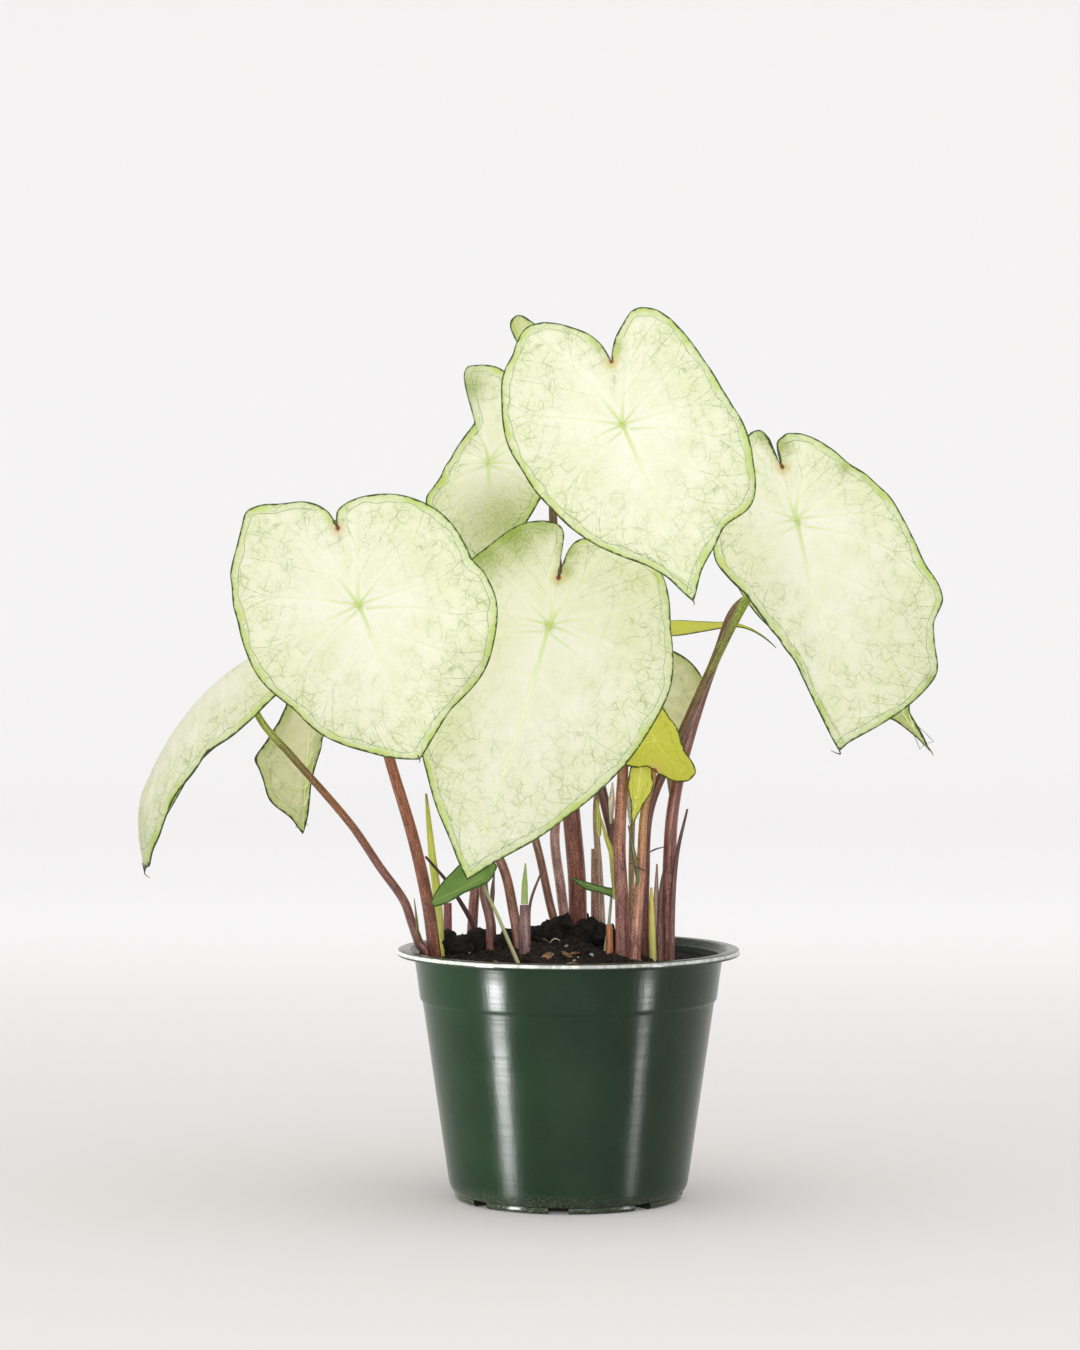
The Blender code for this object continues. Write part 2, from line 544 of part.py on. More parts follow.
def blade_point(blade, reach, bearing, share):
    """A point of the blade's upper face, m: at a share of the margin's reach on a bearing."""
    side, tipward, facing = blade_axes(blade)
    across = reach * share * math.sin(math.radians(bearing))
    along = reach * share * math.cos(math.radians(bearing))
    rise = lift(blade, across, along, share, bearing)
    return (Vector(blade.hub) + side * across + tipward * along + facing * rise) * MM


def hub_normal(blade):
    """Direction that the upper face looks to at the hub."""
    ahead, right, behind, left = (
        blade_point(blade, blade.right[0][1], bearing, HUB_PROBE) for bearing in (0, 90, 180, -90)
    )
    return (right - left).cross(behind - ahead).normalized()


def make_blade(blade, parts):
    """A thin waved plate: a grid wrapped round the hub, with matching triangles on both faces."""
    margin = list(reversed(blade.right)) + [(-bearing, reach) for bearing, reach in blade.left[1:]]
    spokes = len(margin) - 1
    bm = bmesh.new()
    bmesh.ops.create_grid(bm, x_segments=blade.rings, y_segments=spokes, size=0.5)
    for vert in bm.verts:
        share = max(vert.co.x + 0.5, 0.0) ** RING_CROWDING
        bearing, reach = margin[round((vert.co.y + 0.5) * spokes)]
        vert.co = blade_point(blade, reach, bearing, share)
    bmesh.ops.remove_doubles(bm, verts=bm.verts, dist=0.02 * MM)
    bmesh.ops.triangulate(bm, faces=bm.faces)
    facing = blade_axes(blade)[2]
    bm.normal_update()
    if sum(face.normal.dot(facing) * face.calc_area() for face in bm.faces) < 0:
        bmesh.ops.reverse_faces(bm, faces=bm.faces)
    mesh = bpy.data.meshes.new(blade.name)
    bm.to_mesh(mesh)
    bm.free()
    mesh.shade_smooth()
    leaf = place(blade.name, mesh, parts, finish(blade.name, blade.colour, 0.5))
    plate = leaf.modifiers.new("Plate", "SOLIDIFY")
    plate.thickness = BLADE_THICKNESS * MM
    plate.offset = -1.0


def stem_foot(stem):
    """Where the stem ends in the soil, and where its straight foot ends above it, m."""
    x, y = stem.root
    level = soil_level(x, y)
    surface = Vector((x, y, level))
    heading = (Vector(stem.way[0]) - surface).normalized()
    root = surface - heading * (HOLE_DEPTH / heading.z)
    return root * MM, (surface + heading * STEM_STRAIGHT) * MM


def stem_path(stem, blades):
    """Points along a stem, m, on a smooth curve through its way, square to the blade it holds."""
    root, start = stem_foot(stem)
    knots = [start] + [Vector(point) * MM for point in stem.way]
    arrival = None
    if stem.holds:
        blade = blades[stem.holds]
        arrival = hub_normal(blade)
        knots.append((Vector(blade.hub) - arrival * STEM_CLEARANCE) * MM)
    headings = [(start - root).normalized()]
    for before, after in zip(knots, knots[2:]):
        headings.append((after - before).normalized())
    headings.append(arrival or (knots[-1] - knots[-2]).normalized())
    path = [root, start]
    for index in range(len(knots) - 1):
        here, there = knots[index], knots[index + 1]
        pull = (there - here).length / 3
        steps = STEM_STEPS + (2 if arrival and index == len(knots) - 2 else 0)
        curve = interpolate_bezier(
            here, here + headings[index] * pull, there - headings[index + 1] * pull, there, steps + 1
        )
        path.extend(curve[1:])
    return path


def make_stem(stem, blades, parts):
    """A round tapering stem with flat ends."""
    path = stem_path(stem, blades)
    curve = bpy.data.curves.new(stem.name, "CURVE")
    curve.dimensions = "3D"
    curve.bevel_depth = MM
    curve.bevel_resolution = stem.resolution
    curve.use_fill_caps = True
    spline = curve.splines.new("POLY")
    spline.points.add(len(path) - 1)
    lengths = [0.0]
    for before, after in zip(path, path[1:]):
        lengths.append(lengths[-1] + (after - before).length)
    foot_radius, top_radius = stem.radii
    for point, place_on_path, length in zip(spline.points, path, lengths):
        share = max(length - lengths[1], 0.0) / (lengths[-1] - lengths[1])
        point.co = (*place_on_path, 1.0)
        point.radius = foot_radius + (top_radius - foot_radius) * share ** stem.taper
    place(stem.name, curve, parts, finish(stem.name, stem.colour, 0.45))


def make_hole(stem, collection):
    """A round cutter for the hole that a stem stands in."""
    root, start = stem_foot(stem)
    heading = (start - root).normalized()
    radius = (stem.radii[0] + HOLE_SLACK) / math.cos(math.pi / HOLE_SIDES)
    length = HOLE_DEPTH * 2.5
    bm = bmesh.new()
    bmesh.ops.create_cone(
        bm, cap_ends=True, segments=HOLE_SIDES, radius1=radius * MM, radius2=radius * MM, depth=length * MM
    )
    mesh = bpy.data.meshes.new(f"hole_{stem.name}")
    bm.to_mesh(mesh)
    bm.free()
    hole = place_cutter(f"hole_{stem.name}", mesh, collection)
    hole.rotation_mode = "QUATERNION"
    hole.rotation_quaternion = Vector((0, 0, 1)).rotation_difference(heading)
    hole.location = root + heading * (length / 2 - GAP) * MM


def make_spike(parts):
    """The green spike that stands on the sheathed shoot."""
    foot = Vector((-20.9, -24, 143.1))
    tip = Vector((-20.4, -24, 162.6))
    bm = bmesh.new()
    bmesh.ops.create_cone(
        bm, cap_ends=True, segments=8, radius1=1.7 * MM, radius2=0.3 * MM, depth=(tip - foot).length * MM
    )
    mesh = bpy.data.meshes.new("shoot_spike")
    bm.to_mesh(mesh)
    bm.free()
    mesh.shade_smooth()
    spike = place("shoot_spike", mesh, parts, finish("shoot_spike", (150, 186, 84), 0.5))
    spike.rotation_mode = "QUATERNION"
    spike.rotation_quaternion = Vector((0, 0, 1)).rotation_difference((tip - foot).normalized())
    spike.location = (foot + tip) / 2 * MM


def make_collection(name):
    """A collection in the scene."""
    collection = bpy.data.collections.new(name)
    bpy.context.scene.collection.children.link(collection)
    return collection


def main():
    """Model the plant, piece by piece."""
    for thing in list(bpy.data.objects):
        bpy.data.objects.remove(thing)
    parts = make_collection(OBJECT_NAME)
    slots = make_collection("drain_slots")
    holes = make_collection("stem_holes")
    blades = {blade.name: blade for blade in BLADES}
    make_slots(slots)
    make_pot(parts, slots)
    for stem in STEMS:
        make_hole(stem, holes)
    make_soil(parts, holes)
    for blade in BLADES:
        make_blade(blade, parts)
    for stem in STEMS:
        make_stem(stem, blades, parts)
    make_spike(parts)


main()
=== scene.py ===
"""Looks of the potted caladium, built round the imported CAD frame.

Lengths that people read are millimetres, turned to metres by MM. The plant's front looks
to -Y and the origin is the middle of the pot's underside. Each finished piece rides on the
frame's one body and stands for the CAD node whose form it keeps.
"""
from __future__ import annotations

import json
import logging
import math
from dataclasses import dataclass
from enum import Enum

import bmesh
import bpy
import numpy as np
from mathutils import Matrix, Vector, noise
from mathutils.geometry import interpolate_bezier

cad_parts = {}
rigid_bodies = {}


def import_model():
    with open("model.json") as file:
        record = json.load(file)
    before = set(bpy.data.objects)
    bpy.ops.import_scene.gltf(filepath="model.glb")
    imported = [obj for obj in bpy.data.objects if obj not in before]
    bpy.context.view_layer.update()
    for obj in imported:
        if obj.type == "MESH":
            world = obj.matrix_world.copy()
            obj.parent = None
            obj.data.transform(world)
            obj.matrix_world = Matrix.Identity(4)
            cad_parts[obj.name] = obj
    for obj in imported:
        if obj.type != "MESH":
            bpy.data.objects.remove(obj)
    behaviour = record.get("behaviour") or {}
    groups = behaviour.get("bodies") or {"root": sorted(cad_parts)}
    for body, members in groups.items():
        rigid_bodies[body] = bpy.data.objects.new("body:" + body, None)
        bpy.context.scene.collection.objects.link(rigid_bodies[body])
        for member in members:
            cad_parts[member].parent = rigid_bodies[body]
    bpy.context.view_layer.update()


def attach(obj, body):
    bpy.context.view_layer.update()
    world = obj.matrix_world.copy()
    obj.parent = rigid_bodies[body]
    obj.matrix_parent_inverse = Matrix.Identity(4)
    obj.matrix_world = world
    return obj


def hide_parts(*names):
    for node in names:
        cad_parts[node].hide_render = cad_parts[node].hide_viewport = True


MM = 0.001
BODY = "root"
LOG = logging.getLogger("caladium")

Socket = bpy.types.NodeSocket
Station = tuple[float, float]


# ---------------------------------------------------------------- shared tools


def srgb(red: float, green: float, blue: float) -> tuple[float, float, float, float]:
    """Turn an 8-bit display colour into linear values.

    Args:
        red: red, 0 to 255.
        green: green, 0 to 255.
        blue: blue, 0 to 255.

    Returns:
        Linear red, green, blue and an alpha of 1.
    """
    def one(value: float) -> float:
        """Turn one channel."""
        part = value / 255
        return part / 12.92 if part <= 0.04045 else ((part + 0.055) / 1.055) ** 2.4

    return one(red), one(green), one(blue), 1.0


class Tree:
    """Short hand for building a shader or geometry node tree."""

    def __init__(self, tree: bpy.types.NodeTree) -> None:
        """Keep the tree that is built."""
        self.tree = tree

    def node(self, kind: str, **settings: object) -> bpy.types.Node:
        """Add a node.

        Args:
            kind: the node's type name.
            settings: properties of the node by name.

        Returns:
            The new node.
        """
        made = self.tree.nodes.new(kind)
        for name, value in settings.items():
            setattr(made, name, value)
        return made

    def feed(self, socket: Socket, value: object) -> None:
        """Link a socket to an input, or set the input's own value."""
        if isinstance(value, bpy.types.NodeSocket):
            self.tree.links.new(value, socket)
        else:
            socket.default_value = value

    def maths(self, operation: str, first: object, second: object = 0.0, clamp: bool = False) -> Socket:
        """Add a Math node.

        Args:
            operation: the operation's name.
            first: first value or socket.
            second: second value or socket.
            clamp: whether the result stays between 0 and 1.

        Returns:
            The result.
        """
        made = self.node("ShaderNodeMath", operation=operation, use_clamp=clamp)
        self.feed(made.inputs[0], first)
        self.feed(made.inputs[1], second)
        return made.outputs[0]

    def span(self, value: object, low: float, high: float, start: float = 0.0, end: float = 1.0) -> Socket:
        """Map a range smoothly onto another.

        Args:
            value: the value or socket that is mapped.
            low: value that gives start.
            high: value that gives end.
            start: result at low.
            end: result at high.

        Returns:
            The mapped value.
        """
        made = self.node("ShaderNodeMapRange", interpolation_type="SMOOTHSTEP")
        self.feed(made.inputs["Value"], value)
        made.inputs["From Min"].default_value = low
        made.inputs["From Max"].default_value = high
        made.inputs["To Min"].default_value = start
        made.inputs["To Max"].default_value = end
        return made.outputs["Result"]

    def blend(self, factor: object, first: object, second: object, kind: str = "MIX") -> Socket:
        """Mix two colours.

        Args:
            factor: share of the second colour, a value or socket.
            first: first colour or socket.
            second: second colour or socket.
            kind: the blending mode.

        Returns:
            The mixed colour.
        """
        made = self.node("ShaderNodeMix", data_type="RGBA", blend_type=kind)
        self.feed(made.inputs[0], factor)
        self.feed(made.inputs[6], first)
        self.feed(made.inputs[7], second)
        return made.outputs[2]

    def noise(self, vector: Socket, scale: float, detail: float = 2.0, roughness: float = 0.5,
              distortion: float = 0.0) -> Socket:
        """Add a noise texture.

        Args:
            vector: its coordinates.
            scale: its scale.
            detail: its octaves.
            roughness: the share of the finer octaves.
            distortion: how far it is bent.

        Returns:
            The noise, 0 to 1.
        """
        made = self.node("ShaderNodeTexNoise")
        self.feed(made.inputs["Vector"], vector)
        made.inputs["Scale"].default_value = scale
        made.inputs["Detail"].default_value = detail
        made.inputs["Roughness"].default_value = roughness
        made.inputs["Distortion"].default_value = distortion
        return made.outputs["Fac"]

    def stretched(self, vector: Socket, scale: tuple[float, float, float]) -> Socket:
        """Scale coordinates, each axis by its own amount."""
        made = self.node("ShaderNodeMapping")
        self.feed(made.inputs["Vector"], vector)
        made.inputs["Scale"].default_value = scale
        return made.outputs["Vector"]

    def bump(self, height: Socket, distance: float, strength: float = 1.0) -> Socket:
        """Add a Bump node.

        Args:
            height: the height, 0 to 1.
            distance: its full height, m.
            strength: its strength.

        Returns:
            The bent normal.
        """
        made = self.node("ShaderNodeBump")
        made.inputs["Distance"].default_value = distance
        made.inputs["Strength"].default_value = strength
        self.feed(made.inputs["Height"], height)
        return made.outputs["Normal"]


def new_material(name: str) -> tuple[bpy.types.Material, Tree, bpy.types.Node]:
    """Make a material with a Principled shader.

    Args:
        name: the finish it shows.

    Returns:
        The material, its tree and its Principled shader.
    """
    material = bpy.data.materials.new(name)
    material.use_nodes = True
    return material, Tree(material.node_tree), material.node_tree.nodes["Principled BSDF"]


def mesh_from(name: str, points: np.ndarray, faces: list[tuple[int, ...]]) -> bpy.types.Mesh:
    """Make a smooth mesh.

    Args:
        name: the mesh's name.
        points: its corners, m.
        faces: corner numbers of each face.

    Returns:
        The mesh.
    """
    mesh = bpy.data.meshes.new(name)
    mesh.from_pydata([tuple(map(float, point)) for point in points], [], faces)
    mesh.update()
    mesh.shade_smooth()
    return mesh


def put(name: str, mesh: bpy.types.Mesh, *materials: bpy.types.Material) -> bpy.types.Object:
    """Put a mesh in the scene at the origin.

    Args:
        name: the piece's name.
        mesh: its mesh.
        materials: its materials, in the order of their numbers.

    Returns:
        The object.
    """
    thing = bpy.data.objects.new(name, mesh)
    bpy.context.scene.collection.objects.link(thing)
    for material in materials:
        mesh.materials.append(material)
    return thing


def settle(thing: bpy.types.Object, slot: str, *nodes: str) -> None:
    """Make a finished piece ride on the frame.

    Args:
        thing: the finished piece.
        slot: the record's material slot; not used.
        nodes: CAD nodes that it stands for.
    """
    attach(thing, BODY)
    if nodes:
        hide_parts(*nodes)
    LOG.info("%s: %d faces", thing.name, len(thing.data.polygons))


def store(mesh: bpy.types.Mesh, name: str, values: np.ndarray) -> None:
    """Keep a number for each corner of a mesh as a named attribute."""
    attribute = mesh.attributes.new(name, "FLOAT", "POINT")
    attribute.data.foreach_set("value", np.asarray(values, np.float32).ravel())


# ---------------------------------------------------------------- node tools


class NodeTool:
    """A geometry node group with named inputs, run on an object and turned into a mesh."""

    def __init__(self, name: str, inputs: dict[str, tuple[str, object]]) -> None:
        """Make the group and its sockets.

        Args:
            name: the group's name.
            inputs: socket type and starting value by input name.
        """
        self.group = bpy.data.node_groups.new(name, "GeometryNodeTree")
        face = self.group.interface
        face.new_socket("Geometry", in_out="INPUT", socket_type="NodeSocketGeometry")
        self.sockets: dict[str, str] = {}
        for label, (kind, value) in inputs.items():
            made = face.new_socket(label, in_out="INPUT", socket_type=kind)
            if value is not None:
                made.default_value = value
            self.sockets[label] = made.identifier
        face.new_socket("Geometry", in_out="OUTPUT", socket_type="NodeSocketGeometry")
        self.tree = Tree(self.group)
        self.start = self.tree.node("NodeGroupInput")
        self.end = self.tree.node("NodeGroupOutput")
        self.build()

    def build(self) -> None:
        """Build the nodes between the group's input and output."""
        raise NotImplementedError

    def close(self, geometry: Socket) -> None:
        """End the tree in Realize Instances and Set Material."""
        realize = self.tree.node("GeometryNodeRealizeInstances")
        dress = self.tree.node("GeometryNodeSetMaterial")
        self.tree.feed(realize.inputs["Geometry"], geometry)
        self.tree.feed(dress.inputs["Geometry"], realize.outputs["Geometry"])
        self.tree.feed(dress.inputs["Material"], self.start.outputs["Material"])
        self.tree.feed(self.end.inputs["Geometry"], dress.outputs["Geometry"])

    def run(self, name: str, source: bpy.types.Mesh, **values: object) -> bpy.types.Object:
        """Run the group on a mesh.

        Args:
            name: the name of the piece that results.
            source: the mesh that it starts from.
            values: input values by name, with _ for a space.

        Returns:
            The piece, a plain mesh with no modifier.
        """
        carrier = bpy.data.objects.new(name + "_source", source)
        bpy.context.scene.collection.objects.link(carrier)
        modifier = carrier.modifiers.new("Nodes", "NODES")
        modifier.node_group = self.group
        for label, value in values.items():
            modifier[self.sockets[label.replace("_", " ")]] = value
        depsgraph = bpy.context.evaluated_depsgraph_get()
        mesh = bpy.data.meshes.new_from_object(carrier.evaluated_get(depsgraph))
        bpy.data.objects.remove(carrier)
        mesh.name = name
        mesh.shade_smooth()
        return put(name, mesh)


class TubeTool(NodeTool):
    """Sweeps a round section along edges whose points hold a radius and a place along."""

    def __init__(self) -> None:
        """Make the group with a number of sides and a material."""
        super().__init__("Tube along a path", {
            "Sides": ("NodeSocketInt", 12),
            "Material": ("NodeSocketMaterial", None),
        })

    def build(self) -> None:
        """Edges to curves, radius from the points, a circle swept along, its ring kept."""
        tree, inputs = self.tree, self.start.outputs
        curves = tree.node("GeometryNodeMeshToCurve")
        radius = tree.node("GeometryNodeInputNamedAttribute", data_type="FLOAT")
        radius.inputs["Name"].default_value = "radius_mm"
        size = tree.maths("MULTIPLY", radius.outputs["Attribute"], MM)
        circle = tree.node("GeometryNodeCurvePrimitiveCircle")
        circle.inputs["Radius"].default_value = 1.0
        tree.feed(circle.inputs["Resolution"], inputs["Sides"])
        place = tree.node("GeometryNodeInputPosition")
        ring = tree.node("GeometryNodeStoreNamedAttribute", data_type="FLOAT_VECTOR", domain="POINT")
        ring.inputs["Name"].default_value = "ring"
        sweep = tree.node("GeometryNodeCurveToMesh")
        sweep.inputs["Fill Caps"].default_value = True
        tree.feed(curves.inputs["Mesh"], inputs["Geometry"])
        tree.feed(ring.inputs["Geometry"], circle.outputs["Curve"])
        tree.feed(ring.inputs["Value"], place.outputs["Position"])
        tree.feed(sweep.inputs["Curve"], curves.outputs["Curve"])
        tree.feed(sweep.inputs["Profile Curve"], ring.outputs["Geometry"])
        tree.feed(sweep.inputs["Scale"], size)
        self.close(sweep.outputs["Mesh"])


# ---------------------------------------------------------------- sizes shared by the pieces

SOIL_EDGE_Z = 112.0
SOIL_HEAP = 11.0
SOIL_HEAP_PLACE = (-12.0, 14.0)
SOIL_HEAP_SPREAD = 36.0
HOLE_DEPTH = 12.0
STEM_STRAIGHT = 5.0
STEM_STEPS = 12
STEM_CLEARANCE = 1.9
HUB_PROBE = 0.3
HEART = (
    (0, 1.0), (8, 0.88), (20, 0.76), (40, 0.68), (65, 0.62), (90, 0.60),
    (115, 0.62), (135, 0.65), (150, 0.63), (162, 0.53), (170, 0.41), (177, 0.30),
)


# ---------------------------------------------------------------- sizes of the plant


@dataclass(frozen=True)
class Blade:
    """A leaf blade, laid out flat square to its facing and then raised off that plane.

    hub is where the stem joins, mm. facing is (azimuth, elevation), degrees. tip turns the
    tip from straight down towards the blade's right. right and left give the margin's reach
    in mm at bearings from the tip. lean, arch, roll, fold, hook, ruffle and curls raise the
    blade as the CAD source does. lime is how green the blade is between its veins, 0 to 1.
    The soft greener places (across, along, size, strength), mm from the hub, are painted
    shade where overlapping blades shade the blade.
    A plain blade has no side veins.
    """

    name: str
    hub: tuple
    facing: tuple
    tip: float
    right: tuple
    left: tuple
    lean: tuple = (0, 0)
    arch: tuple = (0, 0)
    roll: float = 0
    fold: float = 0
    hook: tuple = (0, 0)
    ruffle: tuple = (1.0, 5, 0.0)
    curls: tuple = ()
    lime: float = 0.0
    shade_greens: tuple = ()
    slot: str = "leaf"
    plain: bool = False


@dataclass(frozen=True)
class Stem:
    """A stem: root (x, y), points on its way and radii, mm; holds names the blade at its top."""

    name: str
    root: tuple
    way: tuple
    radii: tuple
    holds: str = ""
    taper: float = 0.8


def heart(tip_reach: float) -> tuple[Station, ...]:
    """Margin stations of a plain heart whose tip reaches tip_reach mm."""
    return tuple((bearing, share * tip_reach) for bearing, share in HEART)


